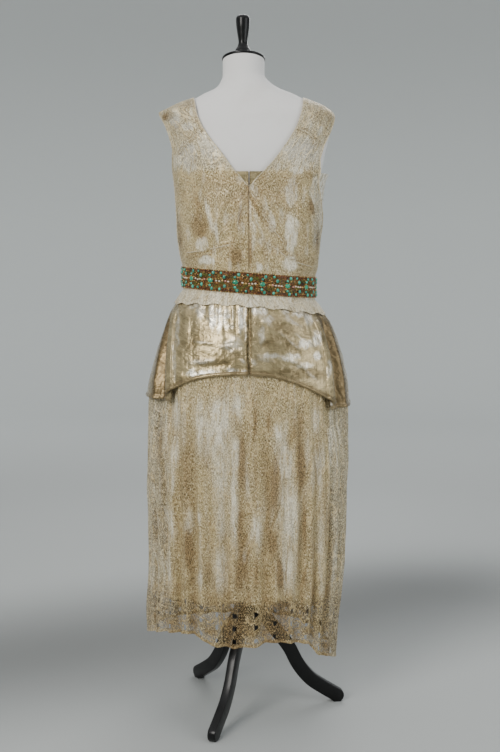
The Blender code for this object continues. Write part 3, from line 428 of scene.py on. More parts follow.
# Pale upright streaks of the skirt's back, where lit satin shows through the lace
SKIRT_LIT_LINES = rows_of(
    Crease,
    (-0.154, 0.731, -0.157, 0.655, 0.0055, 0.9), (-0.157, 0.651, -0.161, 0.567, 0.0042, 0.5),
    (-0.162, 0.573, -0.166, 0.508, 0.0038, 0.4), (-0.179, 0.491, -0.179, 0.45, 0.0038, 0.5),
    (-0.165, 0.483, -0.168, 0.411, 0.0038, 0.6), (-0.104, 0.735, -0.104, 0.606, 0.0063, 0.6),
    (-0.106, 0.483, -0.106, 0.461, 0.0042, 0.4), (-0.107, 0.349, -0.108, 0.321, 0.0042, 0.5),
    (-0.064, 0.724, -0.06, 0.612, 0.0147, 0.95), (-0.058, 0.612, -0.06, 0.508, 0.0105, 0.6),
    (-0.06, 0.508, -0.059, 0.411, 0.0063, 0.55), (-0.06, 0.411, -0.06, 0.303, 0.0105, 0.6),
    (-0.019, 0.735, -0.023, 0.681, 0.0052, 0.6), (-0.026, 0.642, -0.029, 0.573, 0.0063, 0.85),
    (-0.03, 0.573, -0.033, 0.411, 0.005, 0.8), (-0.127, 0.491, -0.129, 0.429, 0.005, 0.7),
    (0.058, 0.672, 0.067, 0.638, 0.0063, 0.7), (0.073, 0.634, 0.081, 0.552, 0.0105, 0.85),
    (0.085, 0.547, 0.089, 0.411, 0.0126, 0.95), (0.083, 0.411, 0.081, 0.308, 0.0084, 0.8),
    (0.142, 0.707, 0.144, 0.649, 0.0059, 0.65), (0.15, 0.627, 0.153, 0.508, 0.005, 0.6),
    (0.156, 0.508, 0.155, 0.303, 0.0055, 0.45), (0.177, 0.692, 0.176, 0.573, 0.0025, 0.8),
    (-0.01, 0.401, -0.009, 0.37, 0.0034, 0.6), (0.012, 0.476, 0.013, 0.426, 0.0038, 0.5),
    (0.023, 0.508, 0.019, 0.379, 0.0042, 0.35), (-0.004, 0.573, -0.004, 0.508, 0.0038, 0.4),
    (-0.179, 0.379, -0.175, 0.303, 0.0042, 0.4), (0.123, 0.659, 0.125, 0.573, 0.0046, 0.35),
    (-0.091, 0.681, -0.087, 0.573, 0.0052, 0.35),
)

# Painted shade, browned in tone, in the depths of its folds
SKIRT_FOLD_SHADE_LINES = rows_of(
    Crease,
    (-0.014, 0.67, -0.017, 0.53, 0.0055, 0.9), (-0.017, 0.53, -0.021, 0.379, 0.0046, 0.6),
    (-0.019, 0.39, -0.023, 0.303, 0.0084, 0.7), (-0.131, 0.67, -0.135, 0.465, 0.0126, 0.5),
    (-0.133, 0.455, -0.131, 0.347, 0.0105, 0.55), (-0.091, 0.379, -0.085, 0.314, 0.0063, 0.4),
    (0.042, 0.698, 0.042, 0.655, 0.0055, 0.6), (0.056, 0.616, 0.054, 0.465, 0.0084, 0.8),
    (0.052, 0.455, 0.052, 0.379, 0.0084, 0.6), (0.063, 0.388, 0.067, 0.314, 0.0055, 0.9),
    (0.11, 0.713, 0.11, 0.638, 0.0055, 0.5), (0.11, 0.638, 0.115, 0.53, 0.0063, 0.9),
    (0.117, 0.519, 0.121, 0.379, 0.005, 0.6), (0.119, 0.357, 0.123, 0.303, 0.0046, 0.5),
    (-0.191, 0.681, -0.189, 0.379, 0.0055, 0.3), (0.015, 0.713, 0.011, 0.638, 0.0034, 0.8),
    (0.013, 0.627, 0.015, 0.508, 0.0027, 0.5), (0.017, 0.39, 0.015, 0.31, 0.0038, 0.7),
    (0.164, 0.552, 0.169, 0.379, 0.0063, 0.35), (-0.112, 0.336, -0.16, 0.301, 0.0063, 0.4),
)

# Painted glints and painted shade in the depths of the peplum's crumpled satin
PEPLUM_GLINTS = rows_of(
    Spot,
    (-0.077, 0.9, 0.0063, 0.0273, 1.0), (-0.063, 0.892, 0.0063, 0.0252, 0.9),
    (-0.048, 0.896, 0.0063, 0.021, 0.7), (-0.017, 0.896, 0.005, 0.0336, 1.0),
    (-0.007, 0.892, 0.0032, 0.0378, 0.8), (-0.103, 0.907, 0.0084, 0.0147, 0.6),
    (-0.113, 0.923, 0.0189, 0.0084, 0.5), (-0.035, 0.84, 0.021, 0.0126, 0.45),
    (-0.121, 0.779, 0.0105, 0.0084, 0.9), (-0.1, 0.777, 0.0126, 0.0073, 1.0),
    (-0.075, 0.781, 0.0147, 0.0063, 0.9), (-0.035, 0.785, 0.0105, 0.0063, 0.6),
    (-0.012, 0.783, 0.0084, 0.0052, 0.8), (0.013, 0.915, 0.0084, 0.0126, 0.9),
    (0.029, 0.909, 0.0105, 0.0105, 0.8), (0.044, 0.892, 0.0084, 0.0084, 0.6),
    (0.107, 0.905, 0.0147, 0.0084, 0.9), (0.128, 0.892, 0.0105, 0.0126, 0.8),
    (0.078, 0.913, 0.0105, 0.0105, 0.6), (0.145, 0.85, 0.0105, 0.0168, 0.8),
    (0.119, 0.84, 0.0168, 0.0084, 0.7), (0.145, 0.813, 0.0105, 0.0084, 0.8),
    (0.086, 0.813, 0.021, 0.0073, 0.75), (0.044, 0.817, 0.021, 0.0063, 0.6),
    (0.119, 0.796, 0.0168, 0.0063, 0.7), (0.027, 0.861, 0.0063, 0.021, 0.5),
    (0.172, 0.788, 0.0063, 0.0168, 0.6), (-0.153, 0.871, 0.0042, 0.0378, 0.5),
    (-0.159, 0.808, 0.0042, 0.042, 0.45),
)
PEPLUM_DEPTHS = rows_of(
    Spot,
    (-0.115, 0.84, 0.0294, 0.0378, 0.55), (-0.071, 0.806, 0.0567, 0.0126, 0.9),
    (-0.027, 0.811, 0.0252, 0.0105, 0.7), (-0.023, 0.777, 0.0294, 0.0042, 0.5),
    (0.086, 0.779, 0.0693, 0.0115, 1.0), (0.145, 0.771, 0.0168, 0.0084, 0.8),
    (0.055, 0.844, 0.0336, 0.0147, 0.6), (0.092, 0.838, 0.0189, 0.0105, 0.9),
    (0.075, 0.875, 0.0294, 0.0147, 0.5), (-0.04, 0.871, 0.0168, 0.0126, 0.3),
    (-0.09, 0.861, 0.0084, 0.021, 0.35), (-0.002, 0.783, 0.0084, 0.0084, 0.6),
    (-0.14, 0.888, 0.0042, 0.0336, 0.5), (0.159, 0.871, 0.0063, 0.0294, 0.5),
    (-0.136, 0.767, 0.0084, 0.0063, 0.6),
)

# Scalloped lace borders on the back, as lines in the back view
BACK_BORDERS = (
    rows_of(PathPoint, (-0.098, 1.29), (-0.113, 1.277), (-0.132, 1.262), (-0.147, 1.245)),
    rows_of(PathPoint, (0.104, 1.29), (0.121, 1.285), (0.134, 1.275), (0.14, 1.262)),
    rows_of(PathPoint, (-0.133, 1.022), (-0.096, 1.03), (-0.06, 1.041), (-0.014, 1.056)),
    rows_of(PathPoint, (0.018, 1.064), (0.054, 1.044), (0.09, 1.022), (0.136, 1.012)),
    rows_of(PathPoint, (0.004, 1.158), (0.024, 1.122), (0.046, 1.086), (0.076, 1.052)),
)

# Creases of the satin peplum in the back view
PEPLUM_BACK_CREASES = rows_of(
    Crease,
    (-0.116, 0.905, -0.06, 0.88, 0.004, 0.0016), (-0.112, 0.9, -0.07, 0.872, 0.005, -0.001),
    (-0.06, 0.884, -0.03, 0.876, 0.006, 0.0014), (-0.04, 0.862, -0.012, 0.842, 0.005, 0.0014),
    (-0.05, 0.85, -0.016, 0.832, 0.004, -0.001), (-0.122, 0.846, -0.07, 0.842, 0.003, 0.0013),
    (-0.118, 0.836, -0.062, 0.834, 0.003, -0.001), (-0.07, 0.834, -0.036, 0.838, 0.0035, 0.0011),
    (-0.134, 0.8, -0.066, 0.808, 0.006, 0.0018), (-0.11, 0.792, -0.01, 0.802, 0.006, -0.0012),
    (-0.07, 0.93, -0.066, 0.87, 0.004, 0.0012), (-0.05, 0.93, -0.047, 0.88, 0.004, 0.0014),
    (-0.034, 0.93, -0.033, 0.872, 0.003, 0.0012), (-0.018, 0.93, -0.02, 0.85, 0.0035, 0.0012),
    (-0.11, 0.925, -0.128, 0.84, 0.003, -0.001), (-0.1, 0.928, -0.112, 0.88, 0.004, 0.0016),
    (-0.09, 0.928, -0.096, 0.89, 0.003, -0.0009), (0.012, 0.925, 0.026, 0.895, 0.006, 0.0014),
    (0.02, 0.9, 0.052, 0.874, 0.005, 0.0013), (0.03, 0.926, 0.033, 0.886, 0.0035, 0.0012),
    (0.06, 0.924, 0.094, 0.884, 0.005, 0.0016), (0.07, 0.898, 0.118, 0.872, 0.004, 0.0015),
    (0.064, 0.888, 0.124, 0.852, 0.004, -0.001), (0.082, 0.88, 0.128, 0.836, 0.0035, 0.0013),
    (0.056, 0.872, 0.116, 0.822, 0.004, 0.0012), (0.024, 0.856, 0.09, 0.848, 0.006, -0.001),
    (0.044, 0.822, 0.14, 0.788, 0.0045, 0.002), (0.05, 0.812, 0.136, 0.776, 0.0045, -0.0012),
    (0.012, 0.812, 0.06, 0.806, 0.006, 0.0012), (0.11, 0.928, 0.126, 0.87, 0.003, 0.0016),
    (0.12, 0.924, 0.138, 0.85, 0.003, -0.001), (0.098, 0.928, 0.106, 0.89, 0.003, 0.0014),
    (0.1, 0.8, 0.15, 0.76, 0.005, 0.0014), (-0.02, 0.812, -0.004, 0.8, 0.005, 0.0016),
    (0.004, 0.812, 0.016, 0.796, 0.005, 0.0016),
)

# Creases of the peplum's front and sides: the first number is the turn round the dress, 1 for a whole turn
PEPLUM_FRONT_CREASES = rows_of(
    Crease,
    (-0.06, 0.925, -0.052, 0.84, 0.0045, 0.002), (-0.03, 0.925, -0.02, 0.8, 0.006, 0.0024),
    (0.0, 0.925, 0.008, 0.85, 0.005, -0.0012), (0.02, 0.925, 0.032, 0.78, 0.007, 0.0026),
    (0.06, 0.925, 0.066, 0.83, 0.005, 0.0018), (0.09, 0.925, 0.104, 0.76, 0.008, 0.0026),
    (0.124, 0.925, 0.128, 0.86, 0.004, -0.0012), (0.15, 0.925, 0.156, 0.8, 0.007, 0.0022),
    (0.188, 0.925, 0.186, 0.82, 0.005, 0.0018), (0.224, 0.925, 0.222, 0.78, 0.007, 0.0024),
    (0.256, 0.925, 0.25, 0.85, 0.005, -0.0012), (0.29, 0.925, 0.282, 0.77, 0.008, 0.0026),
    (0.33, 0.925, 0.322, 0.84, 0.005, 0.0018), (0.366, 0.925, 0.352, 0.79, 0.007, 0.0024),
    (0.404, 0.925, 0.396, 0.86, 0.0045, -0.0012), (0.436, 0.925, 0.424, 0.78, 0.007, 0.0026),
    (0.474, 0.925, 0.466, 0.8, 0.006, 0.0022), (0.14, 0.86, 0.22, 0.842, 0.005, 0.0014),
    (0.26, 0.836, 0.35, 0.85, 0.005, 0.0014), (0.04, 0.8, 0.1, 0.776, 0.005, 0.0016),
    (0.38, 0.79, 0.45, 0.77, 0.005, 0.0016),
)


class Curve:
    """A smooth monotone curve through one named column of a table, read at many places at once."""

    def __init__(self, rows, column, key="z"):
        points = sorted((getattr(row, key), getattr(row, column)) for row in rows)
        self.at = np.array([point[0] for point in points])
        self.value = np.array([point[1] for point in points])
        gaps = np.diff(self.at)
        rises = np.diff(self.value) / gaps
        both = rises[:-1] * rises[1:]
        total = np.where(both > 0, rises[:-1] + rises[1:], 1.0)
        inner = np.where(both > 0, 2 * both / total, 0.0)
        self.slope = np.concatenate([rises[:1], inner, rises[-1:]])

    def __call__(self, place):
        place = np.clip(np.asarray(place, float), self.at[0], self.at[-1])
        i = np.clip(np.searchsorted(self.at, place, side="right") - 1, 0, len(self.at) - 2)
        gap = self.at[i + 1] - self.at[i]
        f = (place - self.at[i]) / gap
        bend = (2 * f**3 - 3 * f**2 + 1) * self.value[i] + (3 * f**2 - 2 * f**3) * self.value[i + 1]
        lean = (f**3 - 2 * f**2 + f) * self.slope[i] + (f**3 - f**2) * self.slope[i + 1]
        return bend + gap * lean


def ease(value, low, high):
    """0 below low, 1 above high and a soft step between."""
    f = np.clip((np.asarray(value, float) - low) / (high - low), 0.0, 1.0)
    return f * f * (3 - 2 * f)


def waist_lift(z, x):
    """The waistline is higher at the left side, and this fades out above and below the waist."""
    return -WAIST_TILT * x * (1 - ease(np.abs(z - WAIST_Z), 0.045, 0.120))


class Surface:
    """The form that a layer of cloth hangs in, from its table of rings."""

    def __init__(self, rings):
        self.left = Curve(rings, "left")
        self.right = Curve(rings, "right")
        self.back = Curve(rings, "back")
        self.front = Curve(rings, "front")

    def at(self, angle, z, out=0.0, squareness=2.0):
        """Points at angles and levels, moved out along the rings' own normals."""
        c = np.cos(np.radians(angle))
        s = np.sin(np.radians(angle))
        c = np.where(np.abs(c) < 1e-9, 1e-9, c)
        s = np.where(np.abs(s) < 1e-9, 1e-9, s)
        wide = np.where(c > 0, self.right(z), self.left(z))
        deep = np.where(s > 0, self.front(z), self.back(z))
        power = 2 / squareness
        x = np.sign(c) * wide * np.abs(c) ** power
        y = np.sign(s) * deep * np.abs(s) ** power
        across = np.sign(c) * np.abs(c) ** (2 - power) / wide
        along = np.sign(s) * np.abs(s) ** (2 - power) / deep
        length = np.hypot(across, along)
        x = x + out * across / length
        y = y + out * along / length
        return np.stack([x, y + STAND_SHIFT_Y, z + waist_lift(z, x)], axis=-1)


bodice_form = Surface(BODICE)
peplum_form = Surface(PEPLUM)
skirt_form = Surface(SKIRT)
slip_skirt_form = Surface(SLIP_SKIRT)
neck_back = {side: Curve(BACK_NECKLINE, side) for side in ("left", "right")}
neck_front = {side: Curve(FRONT_NECKLINE, side) for side in ("left", "right")}
armhole = {side: Curve(ARMHOLE, side) for side in ("left", "right")}
peplum_edge = {side: Curve(PEPLUM_EDGE, side) for side in ("left", "right")}
skirt_hem = Curve(HEM_LINE, "height", "angle")


def squareness_at(z):
    """The ring is an ellipse at the waist and squarer from the hips down."""
    return BODICE_SQUARENESS + (HIP_SQUARENESS - BODICE_SQUARENESS) * ease(0.93 - z, 0.0, 0.12)


def creased(s, z, creases):
    """Sum of soft troughs and ridges, each fading out along and across its own line."""
    total = np.zeros_like(s)
    for crease in creases:
        dx = crease.x1 - crease.x0
        dz = crease.z1 - crease.z0
        t = np.clip(((s - crease.x0) * dx + (z - crease.z0) * dz) / (dx * dx + dz * dz), 0.0, 1.0)
        away = np.hypot(s - crease.x0 - t * dx, z - crease.z0 - t * dz)
        total += crease.height * np.exp(-((away / crease.width) ** 2)) * (0.15 + 0.85 * np.sin(np.pi * t))
    return total


def rumple(s, z, length, seed):
    """Soft uneven swells of about one length, between -1 and 1."""
    draw = np.random.RandomState(seed)
    total = np.zeros_like(s)
    for _ in range(9):
        turn = draw.uniform(0, math.tau)
        step = math.tau / length * draw.uniform(0.5, 1.5)
        total += np.sin(step * (s * math.cos(turn) + z * math.sin(turn)) + draw.uniform(0, math.tau))
    return total / 4.5


def spots_at(s, z, spots):
    """Largest share of any spot at each place, with soft, wandering edges."""
    most = np.zeros_like(s)
    s, z = s + 0.003 * rumple(s, z, 0.022, 3), z + 0.003 * rumple(s, z, 0.022, 4)
    for spot in spots:
        away = np.hypot((s - spot.x) / spot.wide, (z - spot.z) / spot.tall)
        most = np.maximum(most, spot.share * (1 - ease(away, 0.55, 1.35)))
    return most


def only(made):
    """Makes one object the active one and the only one selected."""
    bpy.ops.object.select_all(action="DESELECT")
    made.select_set(True)
    bpy.context.view_layer.objects.active = made
    return made


def start_from(name, add, **settings):
    """Adds a primitive by itself, under a name."""
    bpy.ops.object.select_all(action="DESELECT")
    add(**settings)
    made = bpy.context.object
    made.name = made.data.name = name
    return made


def open_all(made):
    """Opens a piece in edit mode with all of it selected."""
    only(made)
    bpy.ops.object.mode_set(mode="EDIT")
    bpy.ops.mesh.select_all(action="SELECT")


def close_outwards():
    """Turns all faces of the open piece outwards and closes edit mode."""
    bpy.ops.mesh.select_all(action="SELECT")
    bpy.ops.mesh.normals_make_consistent(inside=False)
    bpy.ops.object.mode_set(mode="OBJECT")


def points_of(mesh):
    found = np.empty(len(mesh.vertices) * 3)
    mesh.vertices.foreach_get("co", found)
    return found.reshape(-1, 3)


def corners_of(mesh):
    """Number of the point at each corner of each face."""
    found = np.empty(len(mesh.loops), int)
    mesh.loops.foreach_get("vertex_index", found)
    return found


def lay_grid(name, point_at, marks_at=None, cut_at=None):
    """Adds a grid and lays its points where point_at says. Its UV map holds metres along the cloth.

    marks_at gives each point its shares of sheer cloth, browned cloth and painted shade, dense cloth and
    painted highlight, and cut_at the points to leave out.
    """
    columns, rows = GRIDS[name]
    add = bpy.ops.mesh.primitive_grid_add
    made = start_from(name, add, x_subdivisions=columns, y_subdivisions=rows, size=1.0)
    mesh = made.data
    flat = points_of(mesh)
    u = flat[:, 0] + 0.5
    v = flat[:, 1] + 0.5
    points = point_at(u, v)
    mesh.vertices.foreach_set("co", points.ravel())
    table = points.reshape(rows + 1, columns + 1, 3)
    across = np.zeros((rows + 1, columns + 1))
    across[:, 1:] = np.cumsum(np.linalg.norm(np.diff(table, axis=1), axis=2), axis=1)
    up = np.zeros((rows + 1, columns + 1))
    up[1:] = np.cumsum(np.linalg.norm(np.diff(table, axis=0), axis=2), axis=0)
    beside = np.minimum(across, across[:, -1:] - across)
    middle = across - across[:, columns // 2 : columns // 2 + 1]
    corners = corners_of(mesh)
    metres = np.stack([middle.ravel()[corners], (up - up[-1:]).ravel()[corners]], axis=1)
    layer = mesh.uv_layers[0]
    layer.name = "cloth"
    layer.uv.foreach_set("vector", metres.ravel())
    marks = np.zeros((len(points), 4))
    if marks_at:
        above = (up[-1:] - up).ravel()
        place = Place(*points.T, u, v, middle.ravel(), beside.ravel(), above, up.ravel())
        for k, share in enumerate(marks_at(place)):
            marks[:, k] = np.clip(share, 0.0, 1.0)
    colours = mesh.color_attributes.new("marks", "FLOAT_COLOR", "POINT")
    colours.data.foreach_set("color", marks.ravel())
    mesh.update()
    if cut_at:
        mesh.polygons.foreach_set("select", np.zeros(len(mesh.polygons), bool))
        mesh.edges.foreach_set("select", np.zeros(len(mesh.edges), bool))
        mesh.vertices.foreach_set("select", cut_at(u, v))
        only(made)
        bpy.ops.object.mode_set(mode="EDIT")
        bpy.ops.mesh.delete(type="VERT")
        bpy.ops.object.mode_set(mode="OBJECT")
    return made


def make_mesh(name, points, faces, marks):
    """A piece from its points and faces, with four shares or a colour on each point."""
    mesh = bpy.data.meshes.new(name)
    mesh.from_pydata(points.tolist(), [], faces)
    mesh.color_attributes.new("marks", "FLOAT_COLOR", "POINT").data.foreach_set("color", marks.ravel())
    made = bpy.data.objects.new(name, mesh)
    bpy.context.scene.collection.objects.link(made)
    return made


def run_along(points):
    """Distance from the first point to each, along the line through them all."""
    return np.concatenate([[0.0], np.cumsum(np.linalg.norm(np.diff(points, axis=0), axis=1))])


def apply_all(made):
    only(made)
    for modifier in list(made.modifiers):
        bpy.ops.object.modifier_apply(modifier=modifier.name)
    return made


def give_wall(made, wall, offset=-1.0):
    """Gives a sheet its thickness, inwards from its outer face."""
    solid = made.modifiers.new("Wall", "SOLIDIFY")
    solid.thickness = wall
    solid.offset = offset
    solid.use_rim = True
    return apply_all(made)


def smooth_faces(made, angle=40.0):
    only(made)
    bpy.ops.object.shade_smooth_by_angle(angle=math.radians(angle))
    return made


def join_pieces(name, pieces):
    """Joins several meshes into one object."""
    bpy.ops.object.select_all(action="DESELECT")
    for piece in pieces:
        piece.select_set(True)
    bpy.context.view_layer.objects.active = pieces[0]
    if len(pieces) > 1:
        bpy.ops.object.join()
    made = bpy.context.view_layer.objects.active
    made.name = name
    made.data.name = name
    return made


def dress(made, finish, slot, nodes=()):
    """Puts a finish on a piece and ties it to the part."""
    made.data.materials.clear()
    made.data.materials.append(finish)
    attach(made, "root")
    if nodes:
        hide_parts(*nodes)
    return made


def hang(made, finish, slot, node, angle=40.0):
    """Smooths and dresses a sheet and puts it in place of its solid."""
    dress(smooth_faces(made, angle), finish, slot, [node])


def close_tube(made):
    """Joins the two ends of a grid that goes all round, and fills the openings at top and bottom."""
    open_all(made)
    bpy.ops.mesh.remove_doubles(threshold=WELD)
    bpy.ops.mesh.fill_holes(sides=0)
    close_outwards()
    return made


class Finish:
    """A material under way, with short calls for the nodes that it is made of."""

    def __init__(self, name):
        self.made = bpy.data.materials.new(name)
        self.made.use_nodes = True
        self.tree = self.made.node_tree
        self.shader = self.tree.nodes["Principled BSDF"]

    def put(self, node, key, value):
        socket = node.inputs[key]
        if isinstance(value, bpy.types.NodeSocket):
            self.tree.links.new(value, socket)
        else:
            socket.default_value = value

    def node(self, kind, inputs=(), **settings):
        made = self.tree.nodes.new("ShaderNode" + kind)
        for key, value in settings.items():
            setattr(made, key, value)
        for key, value in dict(inputs).items():
            self.put(made, key, value)
        return made

    def math(self, operation, a, b=0.0):
        return self.node("Math", {0: a, 1: b}, operation=operation).outputs[0]

    def plus(self, a, b):
        return self.math("ADD", a, b)

    def less(self, a, b):
        return self.math("SUBTRACT", a, b)

    def rest(self, share):
        return self.math("SUBTRACT", 1.0, share)

    def times(self, a, b):
        return self.math("MULTIPLY", a, b)

    def larger(self, a, b):
        return self.math("MAXIMUM", a, b)

    def step(self, value, low, high, least=0.0, most=1.0):
        settings = {"Value": value, "From Min": low, "From Max": high, "To Min": least, "To Max": most}
        return self.node("MapRange", settings, interpolation_type="SMOOTHSTEP").outputs["Result"]

    def mix(self, share, a, b, blend="MIX"):
        kind = bpy.types.NodeSocket
        first, second = (value if isinstance(value, kind) else (*value[:3], 1.0) for value in (a, b))
        settings = {0: share, 6: first, 7: second}
        return self.node("Mix", settings, data_type="RGBA", blend_type=blend).outputs[2]

    def noise(self, place, scale, detail=2.0, rough=0.5, twist=0.0):
        settings = {"Vector": place, "Scale": scale, "Detail": detail}
        settings.update({"Roughness": rough, "Distortion": twist})
        return self.node("TexNoise", settings).outputs["Fac"]

    def cells(self, place, scale, feature="DISTANCE_TO_EDGE", loose=0.8):
        settings = {"Vector": place, "Scale": scale, "Randomness": loose}
        return self.node("TexVoronoi", settings, feature=feature)

    def stretched(self, place, wide, tall, deep=1.0):
        settings = {"Vector": place, "Scale": (wide, tall, deep)}
        return self.node("Mapping", settings).outputs["Vector"]

    def bump(self, height, distance, strength=1.0, under=None):
        settings = {"Height": height, "Distance": distance, "Strength": strength}
        if under is not None:
            settings["Normal"] = under
        return self.node("Bump", settings).outputs["Normal"]

    def set(self, **inputs):
        names = {
            "colour": "Base Color",
            "metal": "Metallic",
            "rough": "Roughness",
            "alpha": "Alpha",
            "normal": "Normal",
            "sheen": "Sheen Weight",
            "coat": "Coat Weight",
            "coat_rough": "Coat Roughness",
            "specular": "Specular IOR Level",
            "ior": "IOR",
        }
        for key, value in inputs.items():
            self.put(self.shader, names[key], value)
        return self.made


def marks_of(f):
    """The four shares kept on a cloth's points: sheer (painted shade on satin), browned with painted shade,
    dense, and lit, a painted highlight.
    """
    source = f.node("Attribute", attribute_name="marks")
    parts = f.node("SeparateColor", {"Color": source.outputs["Color"]})
    return (*[parts.outputs[k] for k in range(3)], source.outputs["Alpha"])


def warped(f, place, scale, reach):
    """The same place, pushed about softly, so that nothing on it runs straight."""
    sway = f.node("TexNoise", {"Vector": place, "Scale": scale, "Detail": 2.0})
    shift = f.node("VectorMath", {0: sway.outputs["Color"], 1: (0.5, 0.5, 0.5)}, operation="SUBTRACT")
    push = f.node("VectorMath", {0: shift.outputs[0], "Scale": reach}, operation="SCALE")
    return f.node("VectorMath", {0: place, 1: push.outputs[0]}, operation="ADD").outputs[0]


def outline_of(f, value, middle, half, soft):
    """1 along the line where a value passes its middle, and 0 away from it."""
    away = f.math("ABSOLUTE", f.less(value, middle))
    return f.rest(f.step(away, half, half + soft))


def lace_finish(name, openness):
    """Gold lace: worm-like fine threads that swirl round corded leaves and flowers, open between them."""
    f = Finish(name)
    flat = f.node("UVMap", uv_map="cloth").outputs[0]
    sheer, brown_and_shade, dense, lit = marks_of(f)
    place = warped(f, warped(f, flat, 20.0, 0.014), 90.0, 0.003)
    worm = f.noise(f.stretched(place, 520.0, 270.0), 1.0, 2.0, 0.6, 0.5)
    thread = f.noise(f.stretched(flat, 1200.0, 150.0), 1.0, 2.0, 0.6)
    weave = f.plus(f.times(worm, 0.62), f.times(thread, 0.38))
    fine = f.step(weave, 0.43, 0.56)
    glint = f.step(weave, 0.54, 0.62)
    motif = f.noise(f.stretched(place, 27.0, 18.0), 1.0, 2.0, 0.5)
    cord = outline_of(f, motif, 0.50, 0.008, 0.014)
    swirl = f.step(f.math("SINE", f.times(motif, 150.0)), 0.45, 0.85)
    vine = f.times(swirl, f.step(f.noise(flat, 30.0, 2.0), 0.42, 0.52))
    flower = petals(f, place, 19.0)
    rim = outline_of(f, flower, 0.5, 0.25, 0.2)
    lines = f.larger(f.larger(cord, f.times(vine, 0.7)), rim)
    leaf = f.larger(f.step(motif, 0.55, 0.60), flower)
    cover = f.larger(f.larger(f.step(weave, 0.43, 0.52), lines), dense)
    cover = f.larger(cover, f.times(leaf, 0.6))
    wanted = f.plus(openness, f.times(sheer, 0.95 - openness))
    thin = f.step(weave, 0.66, 0.50, 0.0, 0.8)
    drawn = f.times(lines, f.step(brown_and_shade, 0.5, 1.0, 1.0, 0.35))
    veil = f.times(f.times(f.step(sheer, 0.35, 0.85), thin), f.rest(drawn))
    veil = f.times(veil, f.rest(f.larger(dense, f.times(leaf, 0.4))))
    gap = f.larger(f.times(wanted, f.rest(cover)), veil)
    tone = looks()
    colour = f.mix(fine, tone.lace_dark, tone.lace_light)
    broad = f.noise(f.stretched(flat, 13.0, 6.0), 1.0, 3.0, 0.55)
    patches = f.step(broad, 0.40, 0.66, 0.0, 0.6)
    colour = f.mix(patches, colour, f.mix(fine, tone.lace_gold_deep, tone.lace_gold))
    # Painted shade: a browned band beside each cord, where the raised cord would shade the net.
    beside = f.less(outline_of(f, motif, 0.50, 0.024, 0.014), cord)
    colour = f.mix(f.times(beside, 0.6), colour, tone.lace_tarnish_and_shade)
    colour = f.mix(f.times(lines, 0.65), colour, tone.lace_cord)
    colour = f.mix(f.times(dense, 0.6), colour, f.mix(fine, tone.lace_gold_deep, tone.lace_cord))
    # Painted highlight: where the lit mark is set, in streaky pulls, the lace turns pale as if lit satin
    # showed through.
    pale = f.mix(fine, tone.lace_painted_highlight_deep, tone.lace_painted_highlight)
    pulls = f.noise(f.stretched(warped(f, flat, 40.0, 0.006), 190.0, 26.0), 1.0, 3.0, 0.6)
    pulls = f.step(pulls, 0.34, 0.56, 0.25, 1.0)
    lit = f.times(f.step(lit, -0.1, 0.9), pulls)
    colour = f.mix(f.times(lit, f.rest(f.times(lines, 0.35))), colour, pale)
    # Browned mark: tarnish, and painted shade in folds, gathers and dark gaps.
    colour = f.mix(f.times(brown_and_shade, 0.85), colour, f.mix(fine, tone.lace_tarnish_and_shade_deep, tone.lace_tarnish_and_shade))
    # Painted glints on the brightest threads, fewer where the lace is browned.
    colour = f.mix(f.times(glint, f.step(brown_and_shade, 0.2, 0.9, 0.70, 0.2)), colour, tone.lace_glint)
    height = f.plus(f.plus(cover, f.times(lines, 0.8)), f.times(weave, 0.8))
    f.set(
        colour=colour,
        metal=0.2,
        rough=f.step(weave, 0.3, 0.7, 0.55, 0.38),
        alpha=f.rest(gap),
        normal=f.bump(height, 0.0008, 0.6),
        sheen=0.05,
    )
    return f.made


def petals(f, place, scale):
    """Small five-petalled flowers scattered over the cloth."""
    centre = f.cells(place, scale, "F1", 0.9).outputs["Position"]
    away = f.node("VectorMath", {0: place, 1: centre}, operation="SUBTRACT").outputs[0]
    parts = f.node("SeparateXYZ", {0: away})
    turn = f.math("ARCTAN2", parts.outputs[1], parts.outputs[0])
    reach = f.node("VectorMath", {0: away}, operation="LENGTH").outputs["Value"]
    edge = f.math("ABSOLUTE", f.math("COSINE", f.times(turn, 2.5)))
    limit = f.plus(0.004, f.times(edge, 0.0080))
    return f.rest(f.step(f.math("DIVIDE", reach, limit), 0.75, 1.10))


